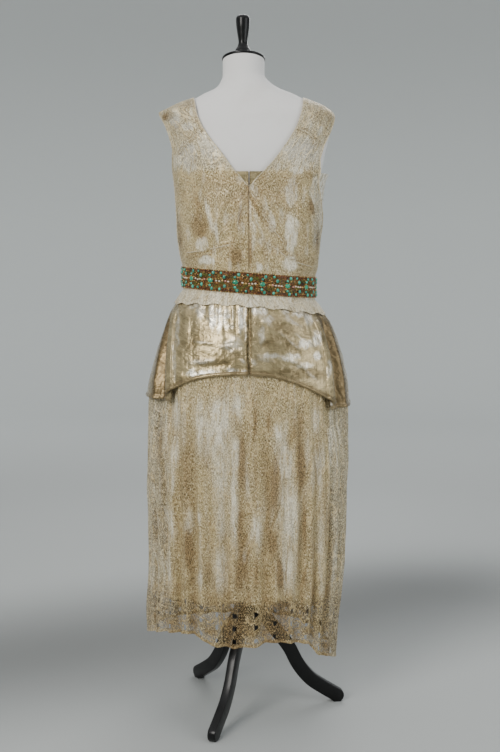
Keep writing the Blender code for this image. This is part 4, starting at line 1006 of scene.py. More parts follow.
def satin_finish(name):
    """Champagne satin with a metallic sheen, fine threads, pulls and crumples, and painted highlights and
    painted shade by turns.
    """
    f = Finish(name)
    flat = f.node("UVMap", uv_map="cloth").outputs[0]
    deep, brown_and_shade, _, lit = marks_of(f)
    loose = warped(f, flat, 30.0, 0.010)
    crumple = f.noise(f.stretched(loose, 34.0, 56.0), 1.0, 4.0, 0.55, 0.8)
    pull = f.noise(f.stretched(flat, 120.0, 12.0), 1.0, 3.0, 0.55)
    thread = f.noise(f.stretched(flat, 1100.0, 220.0), 1.0, 2.0, 0.6)
    age = f.step(f.noise(flat, 16.0, 3.0, 0.6), 0.42, 0.75)
    tone = looks()
    colour = f.mix(f.times(age, 0.5), tone.satin, tone.satin_aged)
    # Painted shade in the pulls, in the crumples' hollows and where the first mark is set.
    colour = f.mix(f.times(f.step(pull, 0.52, 0.72), 0.35), colour, tone.satin_dark)
    colour = f.mix(f.times(f.step(crumple, 0.56, 0.40), 0.30), colour, tone.satin_dark)
    colour = f.mix(f.times(deep, f.step(crumple, 0.20, 0.70, 1.0, 0.55)), colour, tone.satin_dark)
    # Painted highlights where the lit mark is set, broken up by small crumples.
    crisp = f.step(f.noise(f.stretched(loose, 150.0, 95.0), 1.0, 3.0, 0.6, 0.5), 0.40, 0.54, 0.28, 1.0)
    colour = f.mix(f.times(lit, crisp), colour, tone.satin_painted_highlight)
    # Browned mark: the colour of hems and seams, and painted shade in pleat hollows and the slit.
    colour = f.mix(brown_and_shade, colour, tone.satin_brown_and_shade)
    colour = f.mix(f.step(thread, 0.50, 0.75, 0.0, 0.18), colour, tone.satin_dark)
    soft = f.bump(crumple, 0.0042, 0.7)
    soft = f.bump(pull, 0.0026, 0.45, soft)
    f.set(
        colour=colour,
        metal=0.65,
        rough=f.step(crumple, 0.2, 0.8, 0.20, 0.34),
        normal=f.bump(thread, 0.0002, 0.35, soft),
        sheen=0.1,
    )
    return f.made


def form_finish(name):
    """Off-white stretched cover with a fine weave and a few faint marks."""
    f = Finish(name)
    place = f.node("TexCoord").outputs["Object"]
    across = f.node("TexWave", {"Vector": f.stretched(place, 1, 1, 0), "Scale": 300.0}, bands_direction="X")
    down = f.node("TexWave", {"Vector": place, "Scale": 300.0}, bands_direction="Z")
    weave = f.plus(across.outputs["Fac"], down.outputs["Fac"])
    grime = f.step(f.noise(place, 9.0, 4.0, 0.6), 0.45, 0.80)
    colour = f.mix(f.times(grime, 0.35), looks().cover, looks().cover_worn)
    f.set(colour=colour, rough=0.78, normal=f.bump(weave, 0.0002, 0.4), sheen=0.25)
    return f.made


def lacquer_finish(name):
    """Black satin lacquer over wood, a little worn and uneven."""
    f = Finish(name)
    place = f.node("TexCoord").outputs["Object"]
    grain = f.noise(f.stretched(place, 90.0, 90.0, 9.0), 1.0, 4.0, 0.6)
    dust = f.step(f.noise(place, 55.0, 3.0, 0.6), 0.5, 0.9)
    colour = f.mix(f.times(dust, 0.3), looks().lacquer, looks().lacquer_worn)
    f.set(
        colour=colour,
        rough=f.step(dust, 0.0, 1.0, 0.28, 0.46),
        normal=f.bump(grain, 0.0004, 0.25),
        specular=0.28,
        coat=0.08,
        coat_rough=0.12,
    )
    return f.made


def bead_finish(name, rough=0.16, metal=0.0):
    """Glass beads that take their colour from each bead's own tint."""
    f = Finish(name)
    place = f.node("TexCoord").outputs["Object"]
    tint = f.node("Attribute", attribute_name="marks").outputs["Color"]
    shade = f.step(f.noise(place, 420.0, 2.0), 0.3, 0.7, 0.0, 0.5)
    colour = f.mix(shade, tint, f.mix(0.55, tint, looks().bead_dark), "MIX")
    f.set(colour=colour, rough=rough, metal=metal, coat=0.5, coat_rough=0.08)
    return f.made


def ground_finish(name):
    """Net ground of the belt, crusted with copper sequins too small to model."""
    f = Finish(name)
    flat = f.node("UVMap", uv_map="cloth").outputs[0]
    cell = f.cells(flat, 620.0, "F1", 0.6)
    round_top = f.rest(f.step(cell.outputs["Distance"], 0.05, 0.6))
    tone = f.node("SeparateColor", {"Color": cell.outputs["Color"]}).outputs[0]
    colour = f.mix(f.step(tone, 0.2, 0.9), looks().bead_dark, looks().copper)
    colour = f.mix(f.step(f.noise(flat, 60.0, 2.0), 0.5, 0.62, 0.0, 0.8), colour, looks().olive)
    f.set(colour=colour, metal=0.4, rough=0.32, normal=f.bump(round_top, 0.0008, 0.8), coat=0.3)
    return f.made


def studio_finish(name):
    """Pale grey paper with painted light, brightest at the foot of its rise, and a soft painted shadow in a
    band across the floor.
    """
    f = Finish(name)
    place = f.node("TexCoord").outputs["Object"]
    parts = f.node("SeparateXYZ", {0: place})
    level = f.stretched(place, 1.0, 1.0, 0.0)
    along = f.plus(f.node("VectorMath", {0: level}, operation="LENGTH").outputs["Value"], parts.outputs[2])
    # Painted light: darker near the stand, brightest from the far floor to the foot of the rise, dimmer high
    # up.
    rise = f.times(f.step(along, 2.3, 4.6, 0.625, 1.0), f.step(along, 7.2, 8.9, 1.0, 0.74))
    # Painted shadow: a soft band across the floor, fading away from the stand.
    lean = f.less(parts.outputs[1], f.times(parts.outputs[0], 0.5))
    away = f.math("ABSOLUTE", f.less(lean, SHADE_PLACE))
    near = f.step(f.node("VectorMath", {0: level}, operation="LENGTH").outputs["Value"], 1.0, 1.8, 1.0, 0.0)
    shade = f.times(f.step(away, 0.0, SHADE_REACH, SHADE_DEPTH, 0.0), near)
    shade = f.rest(shade)
    colour = f.mix(f.times(rise, shade), looks().shade, looks().backdrop)
    f.set(colour=colour, rough=0.95, normal=f.bump(f.noise(place, 60.0, 3.0), 0.0006, 0.2))
    return f.made


def back_range(side, z):
    """First and last angle of a bodice back half at each level, between neckline and armhole."""
    sign = 1 if side == "right" else -1
    end = 360.0 if side == "right" else 180.0
    share = np.clip(neck_back[side](z) / getattr(bodice_form, side)(z), 0.0, 1.0)
    neck = 270.0 + sign * np.where(z > NECKLINE_POINT_Z, np.degrees(np.arcsin(share)), 0.0)
    hole = end - sign * np.where(z < ARMHOLE_TOP_Z, armhole[side](z), 0.0)
    low, high = (neck, hole) if side == "right" else (hole, neck)
    return low + SEAM_TURN, high - SEAM_TURN


def bodice_hem(angle):
    """Level of the lace bodice's lower edge, in small scallops that drop towards the sides."""
    return 0.920 - 0.010 * np.cos(np.radians(angle)) ** 2 - 0.002 * np.cos(np.radians(angle * 20))


def bodice_ridge(x, z):
    """Soft ridges that run down from the centre back point."""
    drop = np.maximum(NECKLINE_POINT_Z - z, 0.0)
    height = 0.0055 * ease(drop, 0.0, 0.05) * ease(z, 1.0, 1.06)
    near = np.exp(-(((np.abs(x) - 0.016 - 0.07 * drop) / 0.011) ** 2))
    near = near + np.exp(-(((np.abs(x) - 0.042 - 0.35 * drop) / 0.011) ** 2))
    return height * np.minimum(near, 1.0)


def off_belt(z):
    """Share of relief that cloth may have: little of it where the belt presses on it."""
    return 0.12 + 0.88 * ease(np.abs(z - WAIST_Z), 0.026, 0.040)


def slack(x, z, creases, seed, size):
    """Relief of a hanging cloth: its own creases and an uneven soft surface."""
    fine = size * rumple(x, z, 0.030, seed) + 0.45 * size * rumple(x, z, 0.013, seed + 7)
    return creased(x, z, creases) + fine


def border_share(x, z, borders, spread):
    """Share of dense lace along scalloped borders, at so many times their own width."""
    most = np.zeros_like(x)
    for border in borders:
        run = 0.0
        for a, b in zip(border, border[1:]):
            dx = b.x - a.x
            dz = b.z - a.z
            length = math.hypot(dx, dz)
            t = np.clip(((x - a.x) * dx + (z - a.z) * dz) / length**2, 0.0, 1.0)
            away = np.hypot(x - a.x - t * dx, z - a.z - t * dz)
            half = spread * (0.0012 + 0.0012 * np.abs(np.sin((run + t * length) * math.pi / 0.009)))
            most = np.maximum(most, 1 - ease(away, half * 0.7, half * 1.3))
            run += length
    return most


def lace_edge(place):
    """Share of the dense border that edges the lace."""
    edge = np.minimum(np.minimum(place.beside, place.above), place.below)
    return 1 - ease(edge, 0.0025, 0.0045)


def back_lace_marks(place):
    x, z = place.x, place.z
    sheer = np.maximum(1.2 * spots_at(x, z, SHEER_SPOTS), 0.55 * ease(z, 1.198, 1.21))
    satin = ease(x, 0.130, 0.142) * ease(z, 1.03, 1.06) * (1 - ease(z, 1.195, 1.205))
    sheer = np.maximum(sheer, 0.75 * satin)
    # Stains and tarnish, and painted shade along the fold lines.
    brown_and_shade = spots_at(x, z, BODICE_BROWN_SPOTS) + 1.3 * creased(x, z, BODICE_FOLD_SHADE_LINES)
    brown_and_shade = brown_and_shade + 0.25 * ease(rumple(x, z, 0.05, 23), 0.2, 0.9)
    yoke = ease(z, 1.10, 1.14) * (1 - ease(z, 1.190, 1.203)) * (1 - ease(np.abs(x), 0.09, 0.13))
    brown_and_shade = brown_and_shade + 0.30 * yoke
    # Painted highlights: pale spots and lines, soft patches, the satin at the right edge, above the slip,
    # under the belt and a line at the centre back point.
    lit = 1.3 * spots_at(x, z, BODICE_LIT_SPOTS) + 1.4 * creased(x, z, BODICE_LIT_LINES)
    lit = lit + 0.35 * ease(rumple(x * 2.2, z * 0.8, 0.05, 24), 0.25, 0.9) + 0.45 * satin
    lit = lit + 0.30 * ease(z, 1.198, 1.21) + 0.50 * (1 - ease(z, 0.950, 0.965))
    lit = lit + 0.9 * (1 - ease(np.abs(x - 0.0055), 0.0035, 0.0050)) * ease(z, 1.160, 1.165)
    rope = border_share(x, z, BACK_BORDERS, 1.0)
    # Painted shade in a band beside each scalloped border.
    brown_and_shade = np.maximum(brown_and_shade, 0.75 * (border_share(x, z, BACK_BORDERS, 2.3) - rope))
    dense = np.maximum(rope, lace_edge(place))
    # Painted shade in the hollows of fine gathers, and painted highlights on their crests.
    streaks = 0.5 * gather_wave(x * 0.8 + 0.02 * rumple(x, z, 0.09, 25), 26)
    brown_and_shade = brown_and_shade + 0.30 * ease(-streaks, 0.1, 0.9) * (1 - ease(z, 1.16, 1.22))
    return sheer, brown_and_shade, dense, lit + 0.25 * ease(streaks, 0.1, 0.9)


def front_lace_marks(place):
    x, z = place.x, place.z
    sheer = 0.45 * ease(z, 1.20, 1.225) + 0.2 * ease(rumple(x, z, 0.06, 31), 0.3, 0.8)
    folds = creased(x, z, BODICE_FRONT_CREASES)
    # Tarnish at random and painted shade in the folds' troughs; painted highlights in soft patches and on the
    # folds' ridges.
    brown_and_shade = 0.5 * ease(rumple(x, z, 0.05, 32), 0.35, 0.9) - folds * 120
    lit = 0.7 * ease(rumple(x * 2.2, z * 0.7, 0.05, 33), 0.15, 0.9) + folds * 220
    return sheer, np.maximum(brown_and_shade, 0.0), lace_edge(place), lit


def make_bodice_back(side):
    def levels(u, v):
        low, high = back_range(side, np.full_like(u, BODICE_HEM_LEVEL))
        hem = bodice_hem(low + (high - low) * u)
        return hem + (SHOULDER_TOP_Z - hem) * v

    def point(u, v):
        z = levels(u, v)
        low, high = back_range(side, z)
        angle = low + (high - low) * u
        x = bodice_form.at(angle, z)[:, 0]
        relief = slack(x, z, BODICE_BACK_CREASES, 11 if side == "left" else 12, 0.0005) * off_belt(z)
        edge = ease(np.minimum(u, 1 - u), 0.0, 0.04)
        return bodice_form.at(angle, z, bodice_ridge(x, z) + relief * edge)

    made = lay_grid("lace_back_" + side, point, back_lace_marks)
    return give_wall(made, THIN_WALL)


def front_range(z):
    """Angles of the front's armholes and necklines: right hole, right neck, left neck, left hole."""
    found = []
    for side in ("right", "left"):
        share = np.clip(neck_front[side](z) / getattr(bodice_form, side)(z), 0.0, 1.0)
        scoop = 90.0 - np.degrees(np.arcsin(share))
        neck = np.where(z <= FRONT_SCOOP_Z, FRONT_SCOOP_ANGLE, scoop)
        hole = np.where(z < ARMHOLE_TOP_Z, armhole[side](z), 0.0) + SEAM_TURN
        found.append((hole, neck))
    (hole_r, neck_r), (hole_l, neck_l) = found
    return hole_r, neck_r, 180.0 - neck_l, 180.0 - hole_l


def front_angle(u, z):
    hole_r, neck_r, neck_l, hole_l = front_range(z)
    right = hole_r + (neck_r - hole_r) * u / STRAP_SHARE
    middle = neck_r + (neck_l - neck_r) * (u - STRAP_SHARE) / (1 - 2 * STRAP_SHARE)
    left = neck_l + (hole_l - neck_l) * (u - 1 + STRAP_SHARE) / STRAP_SHARE
    return np.where(u < STRAP_SHARE, right, np.where(u > 1 - STRAP_SHARE, left, middle))


def make_bodice_front():
    """The front in one piece, with a scooped neckline and a shoulder piece at each side."""

    def point(u, v):
        turn = front_angle(u, np.full_like(u, BODICE_HEM_LEVEL))
        low = bodice_hem(turn)
        lower = low + (FRONT_SCOOP_Z - low) * v / SCOOP_SHARE
        scoop_tall = SHOULDER_TOP_Z - FRONT_SCOOP_Z
        upper = FRONT_SCOOP_Z + scoop_tall * (v - SCOOP_SHARE) / (1 - SCOOP_SHARE)
        z = np.where(v <= SCOOP_SHARE, lower, upper)
        angle = front_angle(u, z)
        x = bodice_form.at(angle, z)[:, 0]
        relief = slack(x, z, BODICE_FRONT_CREASES, 13, 0.0006) * off_belt(z)
        edge = ease(np.minimum(u, 1 - u), 0.0, 0.03)
        return bodice_form.at(angle, z, np.maximum(relief, -0.0008) * edge)

    def scooped(u, v):
        return (v > SCOOP_SHARE + 0.001) & (np.abs(u - 0.5) < 0.5 - STRAP_SHARE - 0.001)

    made = lay_grid("lace_front", point, front_lace_marks, scooped)
    return give_wall(made, THIN_WALL)


def make_slip_top(name, start, end, gape):
    """A piece of the satin under-bodice, with a straight top edge."""

    def point(u, v):
        z = SLIP_TOP_LOW_Z + (SLIP_TOP_Z - SLIP_TOP_LOW_Z) * v
        spread = np.degrees(gape * ease(z, 1.05, SLIP_TOP_Z) / 0.17)
        low = start + SEAM_TURN + (spread if start == 270.0 else 0.0)
        high = end - SEAM_TURN - (spread if end == 270.0 else 0.0)
        angle = low + (high - low) * u
        x = bodice_form.at(angle, z)[:, 0]
        relief = (0.0004 * rumple(x, z, 0.04, 21) - 0.0004) * off_belt(z)
        return bodice_form.at(angle, z, relief - LAYER)

    return give_wall(lay_grid(name, point, slip_marks), SATIN_THIN)


def beside_edge(angle, side, z):
    """Degrees from a back panel's side edge, positive away from the centre back."""
    turn = (angle - peplum_edge[side](z) + 180) % 360 - 180
    return turn if side == "right" else -turn


def pleat_dip(angle, z):
    """Depth of the deep hollow beside each back panel's edge, and of the tuck that runs under it."""
    hollow = PLEAT_DEPTH * ease(HOLLOW_TOP_Z - z, 0.0, 0.09)
    tuck = TUCK_DEPTH * ease(0.930 - z, 0.0, 0.034)
    deepest = np.zeros_like(z)
    for side in ("left", "right"):
        away = beside_edge(angle, side, z)
        falling = tuck + np.maximum(hollow - tuck, 0.0) * ease(away, 0.0, PLEAT_DEEP_TURN)
        rising = np.maximum(hollow, tuck) * (1 - ease(away, PLEAT_DEEP_TURN, PLEAT_END_TURN))
        dip = np.where(away < 0.0, tuck, np.where(away < PLEAT_DEEP_TURN, falling, rising))
        inside = (away > PLEAT_START_TURN) & (away < PLEAT_END_TURN)
        deepest = np.maximum(deepest, np.where(inside, dip, 0.0))
    return deepest


def peplum_hem(angle):
    """Height of the back panels' hem, which drops from the centre back to their side corners."""
    x = np.cos(np.radians(angle)) * 0.226
    left = 0.776 - 0.041 * (np.abs(x) / 0.174) ** 2.6
    right = 0.776 - 0.065 * (np.abs(x) / 0.183) ** 1.8
    return np.where(x < 0, left, right)


def side_hem(angle):
    """Height of the front panel's hem, lowest at the sides and raised at the centre front."""
    front = ease(np.sin(np.radians(angle)), 0.1, 1.0)
    low = np.where(np.cos(np.radians(angle)) > 0, 0.697, 0.717)
    return low + (0.770 - low) * front


def rolled(rise):
    """How far a rolled hem stands out at a height above its lower edge."""
    inside = np.clip(1 - ((rise - HEM_ROLL_TALL / 2) / (HEM_ROLL_TALL / 2)) ** 2, 0.0, 1.0)
    return HEM_ROLL_OUT * np.sqrt(inside)


def hemmed(v, hem):
    """Level and roll of each row of the peplum: the lowest rows make the rolled hem."""
    rise = HEM_ROLL_TALL * v / HEM_ROLL_SHARE
    plain_tall = PEPLUM_TOP_Z - hem - HEM_ROLL_TALL
    above = hem + HEM_ROLL_TALL + plain_tall * (v - HEM_ROLL_SHARE) / (1 - HEM_ROLL_SHARE)
    low = v <= HEM_ROLL_SHARE
    return np.where(low, hem + rise, above), np.where(low, rolled(rise), 0.0)


def free_part(z, hem):
    """1 on the free part of the peplum, 0 on its hem and under the belt."""
    return ease(PEPLUM_FLAT_Z - z, 0.0, 0.02) * ease(z - hem, 0.004, 0.02)


def waist_gathers(s, z, seed):
    """Small upright gathers that come out from under the belt and fade towards the hips."""
    return gather_wave(s * 0.6, seed) * ease(z, 0.85, 0.91) * ease(GATHER_TOP_Z - z, 0.0, 0.015)


def hem_band(place):
    """1 on the turned-up hem of the peplum and 0 above it."""
    return 1 - ease(place.below, 0.010, 0.013)


def peplum_back_marks(place):
    x, z = place.x, place.z
    hem = hem_band(place)
    side = ease(place.beside, 0.001, 0.004)
    line = np.exp(-(((place.below - 0.0125) / 0.0012) ** 2))
    slit = (1 - ease(np.abs(x), 0.003, 0.006)) * ease(z, 0.775, 0.79)
    # Painted shade in olive-toned dull bands, in listed depths, along the side edge, in a line above the hem
    # and in the slit; painted highlights on listed glints and on crease ridges.
    olive = 0.35 * ease(rumple(x, z, 0.045, 74), -0.2, 0.7)
    deep = olive + spots_at(x, z, PEPLUM_DEPTHS) * (1 - hem) + 0.7 * (1 - side) + 0.8 * line + slit
    ridges = ease(creased(x, z, PEPLUM_BACK_CREASES) * 1000, 0.2, 1.6)
    lit = np.maximum(spots_at(x, z, PEPLUM_GLINTS) * (1 - hem) * (1 - slit), 0.35 * ridges)
    return deep, 0.55 * hem + 0.7 * slit, np.zeros_like(x), lit


def slip_marks(place):
    x, z = place.x, place.z
    # Painted highlight on the satin turned to the right side, and painted shade in soft patches elsewhere;
    # the seam is a dark line.
    turned = ease(x, 0.125, 0.145) * (1 - ease(place.y, 0.0, 0.03)) * ease(z, 0.98, 1.02)
    deep = 0.3 * ease(rumple(place.along, z * 0.5, 0.05, 73), 0.0, 0.9) * (1 - turned)
    seam = ease(z, 0.95, 0.97) * (1 - ease(np.abs(x - 0.001), 0.0015, 0.0035)) * (place.y < 0)
    return deep, 0.9 * seam, np.zeros_like(x), 0.95 * turned


def make_peplum_back(side):
    """A back panel with a knife pleat near its side edge. Its centre edge gapes above the hem."""

    def angles(share, z):
        edge = peplum_edge[side](z)
        gape = 0.6 * ease(z, 0.79, 0.82) * ease(0.945 - z, 0.0, 0.03) + SEAM_TURN
        centre = 270.0 - gape if side == "left" else 270.0 + gape
        return edge + (centre - edge) * share

    def point(u, v):
        along = u if side == "left" else 1 - u
        strip_share = along * STRIP_TURN_SHARE / STRIP_SHARE
        rest = (1 - STRIP_TURN_SHARE) / (1 - STRIP_SHARE)
        plain_share = STRIP_TURN_SHARE + (along - STRIP_SHARE) * rest
        share = np.where(along < STRIP_SHARE, strip_share, plain_share)
        hem = peplum_hem(angles(share, np.full_like(u, PEPLUM_HEM_LEVEL)))
        z, roll = hemmed(v, hem)
        angle = angles(share, z)
        x = peplum_form.at(angle, z, 0.0, squareness_at(z))[:, 0]
        strip = 0.0035 * ease(share, 0.0, 0.05) * (1 - ease(share, 0.128, 0.146))
        strip = strip * ease(PEPLUM_HIP_Z - z, 0.0, 0.02)
        calm = free_part(z, hem) * ease(share, 0.13, 0.17)
        gathers = 0.0006 * waist_gathers(x, z, 33)
        relief = slack(x, z, PEPLUM_BACK_CREASES, 14, 0.0006) * calm
        out = roll + strip + np.maximum(relief + gathers, -0.0011)
        return peplum_form.at(angle, z, out, squareness_at(z))

    made = lay_grid("peplum_panel_" + side, point, peplum_back_marks)
    return give_wall(made, SATIN_THIN)


def gather_wave(s, seed):
    """Uneven upright gathers."""
    draw = np.random.RandomState(seed)
    total = np.zeros_like(s)
    for _ in range(5):
        total += np.sin(math.tau * s / draw.uniform(0.007, 0.018) + draw.uniform(0, math.tau))
    return total / 2.5


def make_peplum_front():
    """The front and both sides in one piece. From the hips down its ends run under the back panels."""

    def angles(u, z):
        hip = ease(PEPLUM_HIP_Z - z, 0.0, 0.03)
        away = 0.4 - 4.9 * hip
        first = peplum_edge["right"](z) - 360 + away
        last = peplum_edge["left"](z) - away
        turn = SIDE_TURN * np.minimum(u / SIDE_SHARE, 1.0)
        middle = np.clip((u - SIDE_SHARE) / (1 - 2 * SIDE_SHARE), 0.0, 1.0)
        end = SIDE_TURN * np.maximum((u - 1 + SIDE_SHARE) / SIDE_SHARE, 0.0)
        return first + turn + (last - first - 2 * SIDE_TURN) * middle + end

    def point(u, v):
        hem = side_hem(angles(u, np.full_like(u, PEPLUM_HEM_LEVEL)))
        z, roll = hemmed(v, hem)
        angle = angles(u, z)
        soft = 0.003 * np.sin(np.radians(angle * 14)) * ease(0.90 - z, 0.0, 0.08)
        calm = ease(np.sin(np.radians(angle)), -0.2, 0.1)
        s = angle / 360.0
        shape = free_part(z, hem)
        gathers = 0.0008 * waist_gathers(s, z, 34)
        relief = slack(s, z, PEPLUM_FRONT_CREASES, 15, 0.0006) * shape * (0.25 + 0.75 * calm)
        out = roll + soft * calm - pleat_dip(angle, z) + relief + gathers
        return peplum_form.at(angle, z, out, squareness_at(z))

    def marks(place):
        z = place.z
        angle = angles(place.u, z)
        hem = hem_band(place)
        # Painted shade in the hollows beside the back panels, in stripes, and in soft patches; painted
        # highlights in other patches.
        hollow = np.zeros_like(z)
        for side in ("left", "right"):
            away = beside_edge(angle, side, z)
            hollow = np.maximum(hollow, ease(away, -2.0, 1.0) * (1 - ease(away, 16.0, 24.0)))
        hollow = hollow * ease(HOLLOW_TOP_Z - z, 0.0, 0.05) * (1 - 0.7 * hem)
        streak = 0.75 + 0.25 * np.sin(place.along * 700)
        deep = 0.6 * ease(rumple(place.along, z * 0.6, 0.06, 71), 0.0, 0.9) * (1 - hem)
        lit = 0.8 * ease(rumple(place.along * 1.6, z * 0.5, 0.05, 72), 0.15, 0.9) * (1 - hem)
        brown_and_shade = 0.5 * hem + 0.95 * hollow * streak
        return np.maximum(deep, hollow), brown_and_shade, np.zeros_like(z), lit * (1 - hollow)

    made = lay_grid("peplum_front_and_sides", point, marks)
    return give_wall(made, SATIN_THIN)


def fold_depth(folds, angle, z):
    """Inward reach of the skirt's valleys: narrow valleys between broad crests."""
    depth = np.zeros_like(z)
    for fold in folds:
        depth += fold.depth * np.exp(-(((angle - fold.angle) / FOLD_TURN) ** 2))
    return depth * (0.25 + 0.75 * ease(0.70 - z, 0.0, 0.35)) * ease(0.93 - z, 0.0, 0.10)


def tuck_under(angle, z):
    """Under the peplum the skirt stays clear of the deep hollows."""
    reach = np.zeros_like(z)
    for side in ("left", "right"):
        away = beside_edge(angle, side, z)
        reach = np.maximum(reach, ease(away, -13.0, -1.0) * (1 - ease(away, 17.0, 28.0)))
    return 1.06 * PLEAT_DEPTH * reach * ease(HOLLOW_TOP_Z - z, 0.0, 0.09) * ease(z, 0.56, 0.69)


def skirt_rises(v, hem):
    """Level of each row of the skirt, closer together in the unlined hem band."""
    band = hem + SKIRT_BAND * v / SKIRT_BAND_SHARE
    rest = (v - SKIRT_BAND_SHARE) / (1 - SKIRT_BAND_SHARE)
    above = hem + SKIRT_BAND + (SKIRT_TOP_Z - hem - SKIRT_BAND) * rest
    return np.where(v <= SKIRT_BAND_SHARE, band, above)


def make_lace_skirt(name, folds, start, end):
    """Half of the gathered lace skirt. The larger gaps of its hem band are cut right through."""
    low = start + SEAM_TURN
    high = end - SEAM_TURN
    crests = [(a.angle + b.angle) / 2 for a, b in zip(folds, folds[1:])]
    centres = [(turn, rise) for turn in crests for rise in HOLE_RISES]

    def reaches(angle, rise):
        """Distance from each hole's centre, as a share of its oval edge's."""
        for turn, height in centres:
            across = np.radians(angle - turn) * HEM_RADIUS / (LACE_HOLE_WIDE / 2)
            yield turn, height, np.hypot(across, (rise - height) / (LACE_HOLE_TALL / 2))

    def pulled(angle, rise):
        """Moves the points near each hole onto its oval edge."""
        moved = angle.copy()
        lifted = rise.copy()
        for turn, height, reach in reaches(angle, rise):
            near = (reach > HOLE_CUT) & (reach < HOLE_PULL)
            scale = np.where(near, 1 / np.maximum(reach, 0.1), 1.0)
            moved = np.where(near, turn + (angle - turn) * scale, moved)
            lifted = np.where(near, height + (rise - height) * scale, lifted)
        return moved, lifted

    def point(u, v):
        flat = low + (high - low) * u
        hem = skirt_hem(flat)
        z = skirt_rises(v, hem)
        angle, rise = pulled(flat, z - hem)
        z = hem + rise
        inward = fold_depth(folds, angle, z) + tuck_under(angle, z)
        s = np.radians(angle) * 0.2
        hang = 0.0013 * gather_wave(s * 0.55 + 0.02 * z, 41) * ease(0.90 - z, 0.0, 0.10)
        relief = hang + 0.0012 * rumple(s, z * 0.35, 0.035, 42) * ease(0.93 - z, 0.0, 0.08)
        calm = ease(np.minimum(u, 1 - u), 0.0, 0.02)
        edge = 0.0009 * np.sqrt(np.clip(1 - ((rise - 0.003) / 0.003) ** 2, 0.0, 1.0))
        return skirt_form.at(angle, z, relief * calm - inward + edge, squareness_at(z))

    def cut(u, v):
        flat = low + (high - low) * u
        hem = skirt_hem(flat)
        hit = np.zeros(len(u), bool)
        for _, _, reach in reaches(flat, skirt_rises(v, hem) - hem):
            hit |= reach <= HOLE_CUT
        return hit

    def marks(place):
        x, z = place.x, place.z
        angle = low + (high - low) * place.u
        lined = ease(z, 0.270, 0.305)
        band = (1 - lined) * (0.75 + 0.25 * ease(rumple(x, z, 0.05, 43), -0.2, 0.5))
        beyond = ease(np.abs(x), 0.165, 0.18)
        motif = band_motif(place)
        sheer = np.maximum(np.maximum(band, 0.25 * ease(rumple(x, z, 0.07, 44), 0.2, 0.9)), 0.65 * beyond)
        if start == 180.0:
            # Painted shade along the listed fold lines and painted highlights along the listed streaks, each
            # with a softer spread.
            brown_and_shade = creased(x, z, SKIRT_FOLD_SHADE_LINES) + 0.5 * creased(x, z, wider(SKIRT_FOLD_SHADE_LINES))
            lit = 0.75 * creased(x, z, SKIRT_LIT_LINES) + 0.45 * creased(x, z, wider(SKIRT_LIT_LINES))
            spread = 0.35
        else:
            brown_and_shade = lit = np.zeros_like(x)
            spread = 1.0
        # Painted shade in the folds' valleys and in the gathers' hollows, and more browning in the unlined
        # band and on its motifs; painted highlights on crests, on the gathers and at the sides.
        valley = fold_depth(folds, angle, z) / DEEPEST_FOLD
        brown_and_shade = brown_and_shade + spread * 0.8 * valley + 0.35 * ease(rumple(x * 2.5, z * 0.4, 0.09, 45), 0.2, 0.9)
        brown_and_shade = brown_and_shade + 0.35 * (1 - lined) + 0.30 * motif
        crest = ease(rumple(place.along * 2.4, z * 0.22, 0.05, 46), 0.1, 0.9)
        streaks = 0.5 * gather_wave(place.along * 0.9 + 0.015 * rumple(x, z * 0.4, 0.09, 47), 48)
        brown_and_shade = brown_and_shade + 0.45 * ease(-streaks, 0.1, 0.9)
        lit = (lit + spread * 0.8 * crest * (1 - valley) + 0.25 * ease(streaks, 0.1, 0.9)) * lined
        lit = lit + 0.35 * beyond
        if start == 180.0:
            # Painted shade where dark parts behind show through the unlined band.
            for middle, reach in ((-0.028, 0.026), (0.064, 0.030)):
                gloom = 1 - ease(np.abs(x - middle + 0.10 * (0.25 - z)), 0.5 * reach, reach)
                gloom = gloom * ease(0.300 - z, 0.0, 0.02)
                brown_and_shade = np.maximum(brown_and_shade, 1.1 * gloom)
                sheer = np.maximum(sheer, gloom)
                motif = motif * (1 - 0.8 * gloom)
        dense = np.maximum(1 - ease(np.minimum(place.beside, place.below), 0.005, 0.007), motif)
        return sheer, brown_and_shade, dense, lit

    made = lay_grid(name, point, marks, cut)
    return give_wall(made, THIN_WALL)


def band_motif(place):
    """Dense motifs in a row just above the unlined band, and another along the hem."""
    row = np.exp(-(((place.z - 0.297 - 0.006 * np.sin(place.x * 110)) / 0.011) ** 2))
    lower = np.exp(-(((place.below - 0.028 - 0.005 * np.cos(place.x * 90)) / 0.009) ** 2))
    broken = ease(np.sin(place.x * 150 + 1.3) + 0.6 * np.sin(place.x * 61), -0.9, 0.5)
    return np.clip((row + 0.7 * lower) * broken, 0.0, 1.0)


